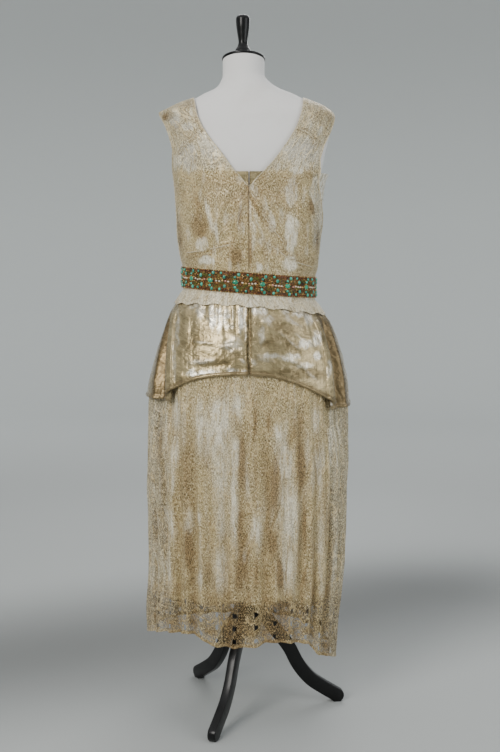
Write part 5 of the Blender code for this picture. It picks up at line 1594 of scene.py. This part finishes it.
def make_cord(name, path, radius):
    """A thin twisted cord along a path, in the cloth's own marks so that it takes the lace's gold and a
    painted highlight.
    """
    way = np.gradient(path, axis=0)
    way /= np.linalg.norm(way, axis=1)[:, None]
    out = path * (1.0, 1.0, 0.0) - (0.0, STAND_SHIFT_Y, 0.0)
    out = out - way * np.sum(out * way, axis=1)[:, None]
    out /= np.linalg.norm(out, axis=1)[:, None]
    side = np.cross(way, out)
    run = run_along(path)
    turns = np.arange(CORD_SIDES) * math.tau / CORD_SIDES
    thick = radius * (1.0 + CORD_SWELL * np.sin(run * math.tau / CORD_TWIST))
    ring = np.cos(turns)[None, :, None] * out[:, None, :] + np.sin(turns)[None, :, None] * side[:, None, :]
    points = (path[:, None, :] + ring * thick[:, None, None]).reshape(-1, 3)
    faces = []
    for ring_start in range(0, CORD_SIDES * (len(path) - 1), CORD_SIDES):
        for m in range(CORD_SIDES):
            low = ring_start + m
            high = ring_start + (m + 1) % CORD_SIDES
            faces.append((low, high, high + CORD_SIDES, low + CORD_SIDES))
    made = make_mesh(name, points, faces, np.tile((0.0, 0.0, 1.0, CORD_LIT), (len(points), 1)))
    corners = corners_of(made.data)
    metres = np.stack([run[corners // CORD_SIDES], (corners % CORD_SIDES) * radius], axis=1)
    made.data.uv_layers.new(name="cloth").uv.foreach_set("vector", metres.ravel())
    return made


def on_bodice(x, z):
    """Places on the bodice's back for noted places across and up."""
    turns = np.linspace(182.0, 358.0, 353)
    angle = np.empty_like(z)
    for k, level in enumerate(z):
        wide = bodice_form.at(turns, np.full_like(turns, level))[:, 0]
        angle[k] = np.interp(x[k], wide, turns)
    return bodice_form.at(angle, z, 0.0012)


def bodice_cords(side):
    """Paths along the neckline, the armhole and the lace borders of a back half."""
    cords = []
    neck = 0 if side == "right" else 1
    for edge, low, steps in ((neck, NECKLINE_POINT_Z, 90), (1 - neck, CORD_LOW_Z, 110)):
        levels = np.linspace(low, CORD_TOP_Z, steps)
        cords.append(bodice_form.at(back_range(side, levels)[edge], levels, 0.0004))
    for border in BACK_BORDERS:
        x = np.array([point.x for point in border])
        z = np.array([point.z for point in border])
        if (x.mean() > 0) != (side == "right"):
            continue
        run = run_along(np.stack([x, z], axis=1))
        steps = np.linspace(0.0, run[-1], int(run[-1] / CORD_STEP))
        cords.append(on_bodice(np.interp(steps, run, x), np.interp(steps, run, z)))
    return cords


def with_cords(made, cords, radius):
    """Joins its edging cords to a piece of lace."""
    name = made.name
    pieces = [made] + [make_cord(name + "_cord", path, radius) for path in cords]
    return join_pieces(name, pieces)


def wider(creases, share=2.2):
    """The same lines, broader and longer, for the soft spread of light or shade round them."""
    spread = []
    for line in creases:
        reach = 0.1 * (line.z0 - line.z1)
        spread.append(line._replace(z0=line.z0 + reach, z1=line.z1 - reach, width=share * line.width))
    return spread


def make_slip_skirt(name, start, end):
    """Half of the satin slip's skirt, in soft folds."""

    def point(u, v):
        angle = start + SEAM_TURN + (end - start - 2 * SEAM_TURN) * u
        z = SLIP_SKIRT_HEM_Z + (SLIP_SKIRT_TOP_Z - SLIP_SKIRT_HEM_Z) * v
        fold = 0.004 * (1 + np.cos(np.radians(angle * 22))) * ease(0.88 - z, 0.0, 0.3)
        inward = fold + 0.8 * tuck_under(angle, z)
        s = np.radians(angle) * 0.19
        relief = 0.0012 * gather_wave(s, 51) * ease(0.88 - z, 0.0, 0.2)
        return slip_skirt_form.at(angle, z, relief - inward - 0.0005, squareness_at(z))

    return give_wall(lay_grid(name, point, slip_marks), SATIN_THIN)


def make_form():
    """Neck, shoulders, bust, waist and hips as one smooth closed body with a flat base."""
    curves = {name: Curve(FORM, name) for name in ("half", "back", "front", "lean")}
    low = FORM[-1].z
    high = FORM[0].z

    def point(u, v):
        z = low + (high - low) * v
        turn = math.tau * u
        deep = np.where(np.sin(turn) > 0, curves["front"](z), curves["back"](z))
        x = curves["lean"](z) + curves["half"](z) * np.cos(turn)
        y = deep * np.sin(turn)
        tilt = NECK_TILT * (0.4 * ease(z, 1.397, 1.413) + 0.6 * ease(z, 1.413, 1.443))
        return np.stack([x, y + STAND_SHIFT_Y, z - tilt * y], axis=-1)

    return close_tube(lay_grid("form_cover", point))


def ease_edges(made, segments, angle):
    """Rounds the edges that are sharper than an angle."""
    eased = made.modifiers.new("Eased edges", "BEVEL")
    eased.width = EASED_EDGE
    eased.segments = segments
    eased.angle_limit = math.radians(angle)
    return apply_all(made)


def make_neck_cap():
    """A thin turned disc with a rounded rim on the tilted cut of the neck."""
    add = bpy.ops.mesh.primitive_cylinder_add
    made = start_from("neck_disc", add, vertices=96, radius=CAP_RADIUS, depth=CAP_THICK)
    ease_edges(made, 4, 40)
    tilt = Matrix.Rotation(-math.atan(NECK_TILT), 4, "X")
    centre = Matrix.Translation((NECK_LEAN, STAND_SHIFT_Y, NECK_TOP_Z))
    lift = Matrix.Translation((0.0, 0.0, CAP_THICK / 2 + 0.0003))
    made.data.transform(centre @ tilt @ lift)
    return made


def turn_profile(name, profile, steps, centre):
    """Turns a profile, top first, by extruding a circle down and resizing it at each level."""
    radius_at = Curve(profile, "radius", "height")
    heights = np.linspace(profile[0].height, profile[-1].height, steps)
    made = start_from(
        name,
        bpy.ops.mesh.primitive_circle_add,
        vertices=64,
        radius=float(radius_at(heights[0])),
        fill_type="NGON",
        location=(*centre, heights[0]),
    )
    bpy.ops.object.transform_apply(location=True, rotation=False, scale=False)
    open_all(made)
    for high, low in zip(heights, heights[1:]):
        scale = float(radius_at(low) / radius_at(high))
        bpy.ops.mesh.extrude_region_move(TRANSFORM_OT_translate={"value": (0.0, 0.0, low - high)})
        bpy.ops.transform.resize(value=(scale, scale, 1.0), center_override=(*centre, low))
    close_outwards()
    return made


def make_finial():
    """A turned knob: bell foot, slim waist and a widening head with a rounded top."""
    made = turn_profile("turned_knob", FINIAL_PROFILE, 70, (NECK_LEAN - 0.0015, STAND_SHIFT_Y))
    plane = CAP_THICK / math.cos(math.atan(NECK_TILT)) + 0.0008
    for vertex in made.data.vertices:
        seat = NECK_TOP_Z - NECK_TILT * (vertex.co.y - STAND_SHIFT_Y) + plane
        if vertex.co.z < 1.4505:
            vertex.co.z = seat
    return made


def make_post():
    """The upright under the form and the block that the legs are fixed to."""
    pieces = []
    for name, profile in (("post_tube", POST_PROFILE[:4]), ("post_block", POST_PROFILE[3:])):
        pieces.append(turn_profile(name, profile, 24, (0.0, STAND_SHIFT_Y)))
    return join_pieces("stand_post", pieces)


def leg_outline():
    """Both edges of the curved leg in its own upright plane, as reach and height."""
    reach_at = Curve(LEG_LINE, "reach")
    heights = np.linspace(LEG_LINE[0].z, LEG_LINE[-1].z, 40)
    line = np.stack([reach_at(heights), heights], axis=1)
    way = np.gradient(line, axis=0)
    way /= np.linalg.norm(way, axis=1)[:, None]
    side = np.stack([-way[:, 1], way[:, 0]], axis=1) * LEG_WIDTH / 2
    toe = []
    for turn in np.radians(np.arange(15.0, 180.0, 15.0)):
        toe.append(line[-1] + side[-1] * math.cos(turn) + way[-1] * LEG_WIDTH / 2 * math.sin(turn))
    outline = np.concatenate([line + side, toe, (line - side)[::-1]])
    outline[:, 0] = np.maximum(outline[:, 0], HUB_RADIUS + 0.0004)
    outline[:, 1] = np.where(outline[:, 1] > FOOT_FLAT_Z, outline[:, 1], 0.0)
    keep = [outline[0]]
    for point in outline[1:]:
        if np.linalg.norm(point - keep[-1]) > 0.0009:
            keep.append(point)
    return np.array(keep)


def make_leg(name, angle):
    """A leg sawn from board, with its edges eased: a disc laid out to its outline and extruded."""
    outline = leg_outline()
    add = bpy.ops.mesh.primitive_circle_add
    made = start_from(name, add, vertices=len(outline), radius=0.1, fill_type="NGON")
    for vertex, (reach, height) in zip(made.data.vertices, outline):
        vertex.co = (reach, -LEG_THICK / 2, height)
    open_all(made)
    bpy.ops.mesh.extrude_region_move(TRANSFORM_OT_translate={"value": (0.0, LEG_THICK, 0.0)})
    close_outwards()
    ease_edges(made, 3, 50)
    turn = Matrix.Rotation(math.radians(angle), 4, "Z")
    made.data.transform(Matrix.Translation((0.0, STAND_SHIFT_Y, 0.0)) @ turn)
    return made


def belt_points(angle, height, out):
    """Places on the belt: an angle, a height above its middle line and a distance out from the bodice."""
    level = np.full_like(np.asarray(angle, float), WAIST_Z)
    points = bodice_form.at(angle, level, out)
    points[:, 2] += height
    return points


def make_belt_band():
    """The band under the beads, closed round the waist and a little crowned."""
    face = BELT_CLEARANCE + BELT_WALL - 0.0008

    def point(u, v):
        height = (v - 0.5) * (BELT_HEIGHT - 0.001)
        crown = 0.0006 * (1 - (2 * v - 1) ** 4) - 0.0006
        return belt_points(360.0 * u, height, face + crown)

    made = lay_grid("belt_band", point)
    open_all(made)
    bpy.ops.mesh.remove_doubles(threshold=WELD)
    bpy.ops.object.mode_set(mode="OBJECT")
    return give_wall(made, BAND_THIN)


def bead_shape(subdivisions):
    """Points and faces of one small round bead."""
    add = bpy.ops.mesh.primitive_ico_sphere_add
    model = start_from("bead_model", add, subdivisions=subdivisions, radius=1.0)
    points = points_of(model.data)
    faces = np.array([list(face.vertices) for face in model.data.polygons])
    bpy.data.meshes.remove(model.data)
    return points, faces


def string_beads(name, beads, subdivisions):
    """Many beads as one mesh. Each lies on the belt with its own size, rise and tint."""
    shape, faces = bead_shape(subdivisions)
    angle = np.array([bead.angle for bead in beads])
    height = np.array([bead.height for bead in beads])
    rise = np.array([bead.rise for bead in beads])
    centre = belt_points(angle, height, BELT_CLEARANCE + BELT_WALL + rise)
    outward = belt_points(angle, height, BELT_CLEARANCE + BELT_WALL + rise + 0.001) - centre
    outward[:, 2] = 0.0
    outward /= np.linalg.norm(outward, axis=1)[:, None]
    along = np.stack([-outward[:, 1], outward[:, 0], -WAIST_TILT * -outward[:, 1]], axis=1)
    upward = np.cross(outward, along)
    size = np.array([(bead.long / 2, bead.tall / 2, bead.deep / 2) for bead in beads])
    points = centre[:, None, :] + (
        shape[None, :, 0:1] * along[:, None, :] * size[:, None, 0:1]
        + shape[None, :, 1:2] * upward[:, None, :] * size[:, None, 1:2]
        + shape[None, :, 2:3] * outward[:, None, :] * size[:, None, 2:3]
    )
    shift = np.arange(len(beads))[:, None, None] * len(shape)
    all_faces = (faces[None] + shift).reshape(-1, 3).tolist()
    tints = np.array([(*bead.tint[:3], 1.0) for bead in beads])
    return make_mesh(name, points.reshape(-1, 3), all_faces, np.repeat(tints, len(shape), axis=0))


def belt_layout():
    """All beads of the belt: the seed-bead ground, then the stones and the larger beads round them."""
    draw = np.random.RandomState(61)
    pitch = 360.0 / STONE_COUNT
    tone = looks()
    seeds = []
    rows = int(BELT_HEIGHT / SEED_PITCH)
    for row in range(rows):
        height = (row + 0.5) * BELT_HEIGHT / rows - BELT_HEIGHT / 2
        for column in range(SEED_COLUMNS):
            angle = 360.0 * (column + 0.5 * (row % 2)) / SEED_COLUMNS
            phase = (angle / pitch) % 1.0
            if row in (0, rows - 1):
                tint = tone.bead_gold if column % 2 else tone.bead_red
            elif row in (1, rows - 2):
                tint = tone.bead_red
            elif abs(math.sin(phase * math.tau) * 0.011 - height) < 0.0030:
                tint = tone.olive
            elif abs(-math.sin(phase * math.tau) * 0.014 - height) < 0.0020:
                tint = tone.bead_gold if draw.rand() < 0.6 else tone.olive
            else:
                tint = tone.copper
                if draw.rand() >= 0.75:
                    tint = tone.bead_gold if draw.rand() < 0.6 else tone.bead_dark
            shade = draw.uniform(0.25, 1.6)
            size = SEED_SIZE * draw.uniform(0.85, 1.1)
            tint = [min(channel * shade, 1.0) for channel in tint[:3]]
            seeds.append(Bead(angle, height, size, size, size, draw.uniform(-0.0006, 0.0002), tint))
    rounds = []
    stones = []
    for stone in range(STONE_COUNT):
        middle = (stone + 0.5) * pitch
        shade = draw.uniform(0.75, 1.3)
        tint = [channel * shade for channel in tone.stone[:3]]
        stones.append(Bead(middle, 0.0, STONE_LONG, STONE_TALL, STONE_DEEP, 0.0002, tint))
        for k in range(RING_BEADS):
            turn = math.tau * k / RING_BEADS
            away = math.degrees((STONE_LONG / 2 + RING_CLEAR) * math.cos(turn) / BELT_REACH)
            tall = (STONE_TALL / 2 + RING_CLEAR) * math.sin(turn)
            tint = tone.bead_gold if k % 3 else tone.bead_dark
            rounds.append(Bead(middle + away, tall, RING_BEAD, RING_BEAD, RING_BEAD, 0.0006, tint))
        for centre, places in ((middle, STONE_BEADS), (middle + pitch / 2, HALFWAY_BEADS)):
            for place in places:
                shade = draw.uniform(0.55, 1.35)
                tint = [channel * shade for channel in tone.turquoise[:3]]
                angle = centre + math.degrees((place.along + draw.uniform(-0.0008, 0.0008)) / BELT_REACH)
                rounds.append(Bead(angle, place.up, place.long, place.tall, BIG_BEAD_DEEP, 0.0008, tint))
        for k, away in enumerate(CRYSTAL_STEPS):
            tint = (tone.cream, tone.cream, tone.bead_gold, tone.pink, tone.cream)[(k + stone) % 5]
            tall = draw.uniform(-0.0012, 0.0012)
            angle = middle + pitch / 2 + math.degrees(away / BELT_REACH)
            rounds.append(Bead(angle, tall, 0.0050, 0.0038, 0.0034, 0.0006, tint))
    return seeds, rounds, stones


def make_stage():
    """A pale floor that rises all round into a plain backdrop, as one bowl."""
    add = bpy.ops.mesh.primitive_circle_add
    made = start_from("studio_bowl", add, vertices=96, radius=STAGE_FLAT, fill_type="NGON")
    open_all(made)
    radius = STAGE_FLAT
    height = 0.0
    for step in range(1, STAGE_STEPS + 1):
        turn = math.radians(90.0 * step / STAGE_STEPS)
        next_radius = STAGE_FLAT + STAGE_BEND * math.sin(turn)
        next_height = STAGE_BEND * (1 - math.cos(turn))
        bpy.ops.mesh.extrude_region_move(TRANSFORM_OT_translate={"value": (0.0, 0.0, next_height - height)})
        scale = next_radius / radius
        bpy.ops.transform.resize(value=(scale, scale, 1.0), center_override=(0.0, 0.0, next_height))
        radius = next_radius
        height = next_height
    bpy.ops.mesh.extrude_region_move(TRANSFORM_OT_translate={"value": (0.0, 0.0, STAGE_TALL - height)})
    bpy.ops.mesh.delete(type="ONLY_FACE")
    bpy.ops.object.mode_set(mode="OBJECT")
    return made


def aim(made, target):
    way = Vector(target) - made.location
    made.rotation_euler = way.to_track_quat("-Z", "Y").to_euler()


def add_light(name, place, target, size, power, tint=(1.0, 1.0, 1.0)):
    data = bpy.data.lights.new(name, "AREA")
    data.shape = "RECTANGLE"
    data.size, data.size_y = size
    data.energy = power
    data.color = tint
    made = bpy.data.objects.new(name, data)
    made.location = place
    bpy.context.scene.collection.objects.link(made)
    aim(made, target)
    return made


def add_camera():
    data = bpy.data.cameras.new("photo_camera")
    data.sensor_fit = "VERTICAL"
    data.sensor_height = CAMERA_SENSOR
    data.lens = CAMERA_LENS
    data.clip_end = CAMERA_FAR
    made = bpy.data.objects.new("photo_camera", data)
    made.location = CAMERA_PLACE
    made.rotation_euler = (math.radians(90.0 - CAMERA_DIP), 0.0, 0.0)
    bpy.context.scene.collection.objects.link(made)
    bpy.context.scene.camera = made


def tint_property(name, description, default):
    return FloatVectorProperty(
        name=name, description=description, default=default, size=3, min=0.0, max=1.0, subtype="COLOR"
    )


class RobeLooks(bpy.types.PropertyGroup):
    """Sizes and colours that a user may change before building the dress."""

    lace_openness: FloatProperty(
        name="Lace openness",
        description="Share of the net between motifs that is see-through over the lining",
        default=0.14,
        min=0.0,
        max=1.0,
        subtype="FACTOR",
    )
    light_distance: FloatProperty(
        name="Light distance", description="Distance of the main light", default=2.6, unit="LENGTH"
    )
    lace_dark: tint_property("Lace, deep", "Metal lace between its threads", (0.215, 0.152, 0.058))
    lace_light: tint_property("Lace, light", "Raised threads of the lace", (0.640, 0.515, 0.262))
    lace_gold_deep: tint_property("Gold lace, deep", "Yellow patches, between threads", (0.180, 0.118, 0.038))
    lace_gold: tint_property("Gold lace", "Yellow patches, on the threads", (0.600, 0.448, 0.172))
    lace_cord: tint_property("Cords", "Outlines of leaves and flowers", (0.640, 0.500, 0.250))
    # Painted glints on the metal threads
    lace_glint: tint_property("Glints", "Bright metal threads", (0.960, 0.860, 0.600))
    # Painted highlight colours, where lit satin would show through the lace
    lace_painted_highlight_deep: tint_property("Pale lace, deep", "On lit satin, between threads", (0.740, 0.665, 0.490))
    lace_painted_highlight: tint_property("Pale lace", "On lit satin, on the threads", (1.000, 0.960, 0.810))
    # Tarnish, and painted shade in folds and beside cords
    lace_tarnish_and_shade_deep: tint_property("Brown lace, deep", "Tarnish between threads", (0.085, 0.048, 0.014))
    lace_tarnish_and_shade: tint_property("Brown lace", "Tarnished threads", (0.330, 0.208, 0.080))
    satin: tint_property("Satin", "Champagne satin", (0.500, 0.405, 0.225))
    satin_aged: tint_property("Satin, aged", "Yellowed patches of the satin", (0.370, 0.290, 0.140))
    # Painted shade in the satin's crumples, pulls and depths; it also darkens the fine threads
    satin_dark: tint_property("Satin, deep", "Depths of the satin's crumples", (0.135, 0.095, 0.038))
    # Painted highlights on the satin
    satin_painted_highlight: tint_property("Satin, lit", "Lit ridges of the satin", (1.000, 0.950, 0.820))
    # Colour of rolled hems and seams, and painted shade in deep pleats and the slit
    satin_brown_and_shade: tint_property("Satin hem", "Rolled hems and deep pleats", (0.160, 0.108, 0.046))
    cover: tint_property("Form cover", "Stretched cover of the dress form", (0.80, 0.785, 0.765))
    cover_worn: tint_property("Form cover, worn", "Marks on the cover", (0.62, 0.58, 0.53))
    lacquer: tint_property("Lacquer", "Black finish of the stand", (0.003, 0.003, 0.003))
    lacquer_worn: tint_property("Lacquer, dusty", "Dusty finish of the stand", (0.016, 0.015, 0.015))
    bead_dark: tint_property("Beads, deep", "Shade between beads", (0.030, 0.014, 0.006))
    copper: tint_property("Copper beads", "Ground of the belt", (0.29, 0.125, 0.028))
    olive: tint_property("Olive beads", "Leaves of the belt", (0.135, 0.150, 0.020))
    bead_red: tint_property("Red beads", "Lines along the belt's edges", (0.20, 0.060, 0.022))
    bead_gold: tint_property("Gold beads", "Small beads round the stones", (0.66, 0.42, 0.14))
    turquoise: tint_property("Turquoise beads", "Beads round the stones", (0.035, 0.440, 0.300))
    stone: tint_property("Stones", "Oval stones on the middle line", (0.012, 0.280, 0.150))
    cream: tint_property("Cream crystals", "Crystals between the stones", (0.80, 0.68, 0.52))
    pink: tint_property("Pink crystals", "Some of the crystals between the stones", (0.62, 0.30, 0.24))
    backdrop: tint_property("Backdrop", "Floor and backdrop", (0.672, 0.702, 0.692))
    shade: tint_property("Backdrop, deep", "Floor and backdrop in full shade", (0.0, 0.0, 0.0))


def looks():
    return bpy.context.scene.robe_looks


class ROBE_OT_stand(bpy.types.Operator):
    """Builds the dress form, its neck cap and knob, the post and the three legs"""

    bl_idname = "robe.stand"
    bl_label = "Dress form and stand"

    def execute(self, context):
        cover = form_finish("stretched_cover")
        dress(smooth_faces(make_form(), 50), cover, "white_form_cover", ["form_torso"])
        black = lacquer_finish("black_lacquer_finish")
        dress(smooth_faces(make_neck_cap()), black, "black_lacquer", ["neck_cap"])
        dress(smooth_faces(make_finial()), black, "black_lacquer", ["finial"])
        dress(smooth_faces(make_post()), black, "black_lacquer", ["post"])
        for node, angle in LEG_ANGLES.items():
            dress(smooth_faces(make_leg(node + "_board", angle)), black, "black_lacquer", [node])
        return {"FINISHED"}


class ROBE_OT_slip(bpy.types.Operator):
    """Builds the satin slip: its top in three pieces and its skirt in two halves"""

    bl_idname = "robe.slip"
    bl_label = "Satin slip"

    def execute(self, context):
        satin = satin_finish("slip_satin")
        tops = (
            ("slip_top_front", 0.0, 180.0, 0.0, "slip_front"),
            ("slip_top_left", 180.0, 270.0, SLIP_GAPE, "slip_back_left"),
            ("slip_top_right", 270.0, 360.0, SLIP_GAPE, "slip_back_right"),
        )
        for name, start, end, gape, node in tops:
            hang(make_slip_top(name, start, end, gape), satin, "ivory_satin", node)
        skirts = (
            ("slip_skirt_fore", 0.0, 180.0, "slip_skirt_front"),
            ("slip_skirt_rear", 180.0, 360.0, "slip_skirt_back"),
        )
        for name, start, end, node in skirts:
            hang(make_slip_skirt(name, start, end), satin, "ivory_satin", node)
        return {"FINISHED"}


class ROBE_OT_bodice(bpy.types.Operator):
    """Builds the lace bodice: two backs and a front"""

    bl_idname = "robe.bodice"
    bl_label = "Lace bodice"

    def execute(self, context):
        lace = lace_finish("bodice_lace", looks().lace_openness)
        for side in ("left", "right"):
            made = make_bodice_back(side)
            made = with_cords(smooth_faces(made), bodice_cords(side), CORD_RADIUS)
            dress(made, lace, "gold_lace", ["lace_bodice_back_" + side])
        hang(make_bodice_front(), lace, "gold_lace", "lace_bodice_front")
        return {"FINISHED"}


class ROBE_OT_skirt(bpy.types.Operator):
    """Builds the gathered lace skirt in two halves"""

    bl_idname = "robe.skirt"
    bl_label = "Lace skirt"

    def execute(self, context):
        lace = lace_finish("skirt_lace", looks().lace_openness)
        halves = (
            ("skirt_rear", BACK_FOLDS, 180.0, 360.0, "lace_skirt_back"),
            ("skirt_fore", FRONT_FOLDS, 0.0, 180.0, "lace_skirt_front"),
        )
        for name, folds, start, end, node in halves:
            hang(make_lace_skirt(name, folds, start, end), lace, "gold_lace", node)
        return {"FINISHED"}


class ROBE_OT_peplum(bpy.types.Operator):
    """Builds the satin peplum: two back panels, and a front that goes round both sides"""

    bl_idname = "robe.peplum"
    bl_label = "Satin peplum"

    def execute(self, context):
        satin = satin_finish("peplum_satin")
        for side in ("left", "right"):
            hang(make_peplum_back(side), satin, "ivory_satin", "peplum_back_" + side, 60)
        hang(make_peplum_front(), satin, "ivory_satin", "peplum_front", 60)
        return {"FINISHED"}


class ROBE_OT_belt(bpy.types.Operator):
    """Builds the beaded belt: its band, seed beads, round beads and oval stones"""

    bl_idname = "robe.belt"
    bl_label = "Beaded belt"

    def execute(self, context):
        hang(make_belt_band(), ground_finish("belt_ground"), "copper_beads", "belt")
        seeds, rounds, stones = belt_layout()
        glass = bead_finish("bead_glass", 0.22, 0.35)
        polished = bead_finish("stone_glass", 0.10)
        dress(smooth_faces(string_beads("seed_beads", seeds, 1), 80), glass, "copper_beads")
        dress(smooth_faces(string_beads("round_beads", rounds, 2), 80), polished, "copper_beads")
        dress(smooth_faces(string_beads("oval_stones", stones, 3), 80), polished, "copper_beads")
        return {"FINISHED"}


class ROBE_OT_studio(bpy.types.Operator):
    """Builds the plain studio: floor and backdrop, soft lights and the camera"""

    bl_idname = "robe.studio"
    bl_label = "Studio"

    def execute(self, context):
        bowl = smooth_faces(make_stage())
        bowl.data.materials.append(studio_finish("studio_paper"))
        far = looks().light_distance
        add_light("key", (-1.7, -far, 2.3), (0.0, 0.0, 0.9), (1.2, 1.6), KEY_POWER, (1.0, 0.975, 0.93))
        add_light("fill", (2.4, -1.6, 1.4), (0.0, 0.0, 0.8), (1.6, 2.0), FILL_POWER, (0.97, 0.98, 1.0))
        add_light("rear", (0.6, 2.6, 2.6), (0.0, 0.0, 0.9), (2.0, 1.4), REAR_POWER)
        world = bpy.data.worlds.new("studio_world")
        world.use_nodes = True
        world.node_tree.nodes["Background"].inputs["Color"].default_value = (0.97, 0.98, 1.0, 1.0)
        world.node_tree.nodes["Background"].inputs["Strength"].default_value = SKY_STRENGTH
        context.scene.world = world
        add_camera()
        return {"FINISHED"}


class ROBE_PT_panel(bpy.types.Panel):
    """Lists the steps that build the dress"""

    bl_label = "Robe de style"
    bl_idname = "ROBE_PT_panel"
    bl_space_type = "VIEW_3D"
    bl_region_type = "UI"
    bl_category = "Robe"

    def draw(self, context):
        for name in RobeLooks.__annotations__:
            self.layout.prop(context.scene.robe_looks, name)
        for step in STEPS:
            self.layout.operator(step.bl_idname)


STEPS = (
    ROBE_OT_stand,
    ROBE_OT_slip,
    ROBE_OT_bodice,
    ROBE_OT_skirt,
    ROBE_OT_peplum,
    ROBE_OT_belt,
    ROBE_OT_studio,
)
CLASSES = (RobeLooks, *STEPS, ROBE_PT_panel)


def register():
    for made in CLASSES:
        bpy.utils.register_class(made)
    bpy.types.Scene.robe_looks = PointerProperty(type=RobeLooks)


def unregister():
    del bpy.types.Scene.robe_looks
    for made in reversed(CLASSES):
        bpy.utils.unregister_class(made)


def main():
    register()
    bpy.ops.robe.stand()
    bpy.ops.robe.slip()
    bpy.ops.robe.bodice()
    bpy.ops.robe.skirt()
    bpy.ops.robe.peplum()
    bpy.ops.robe.belt()
    bpy.ops.robe.studio()


if __name__ == "__main__":
    main()
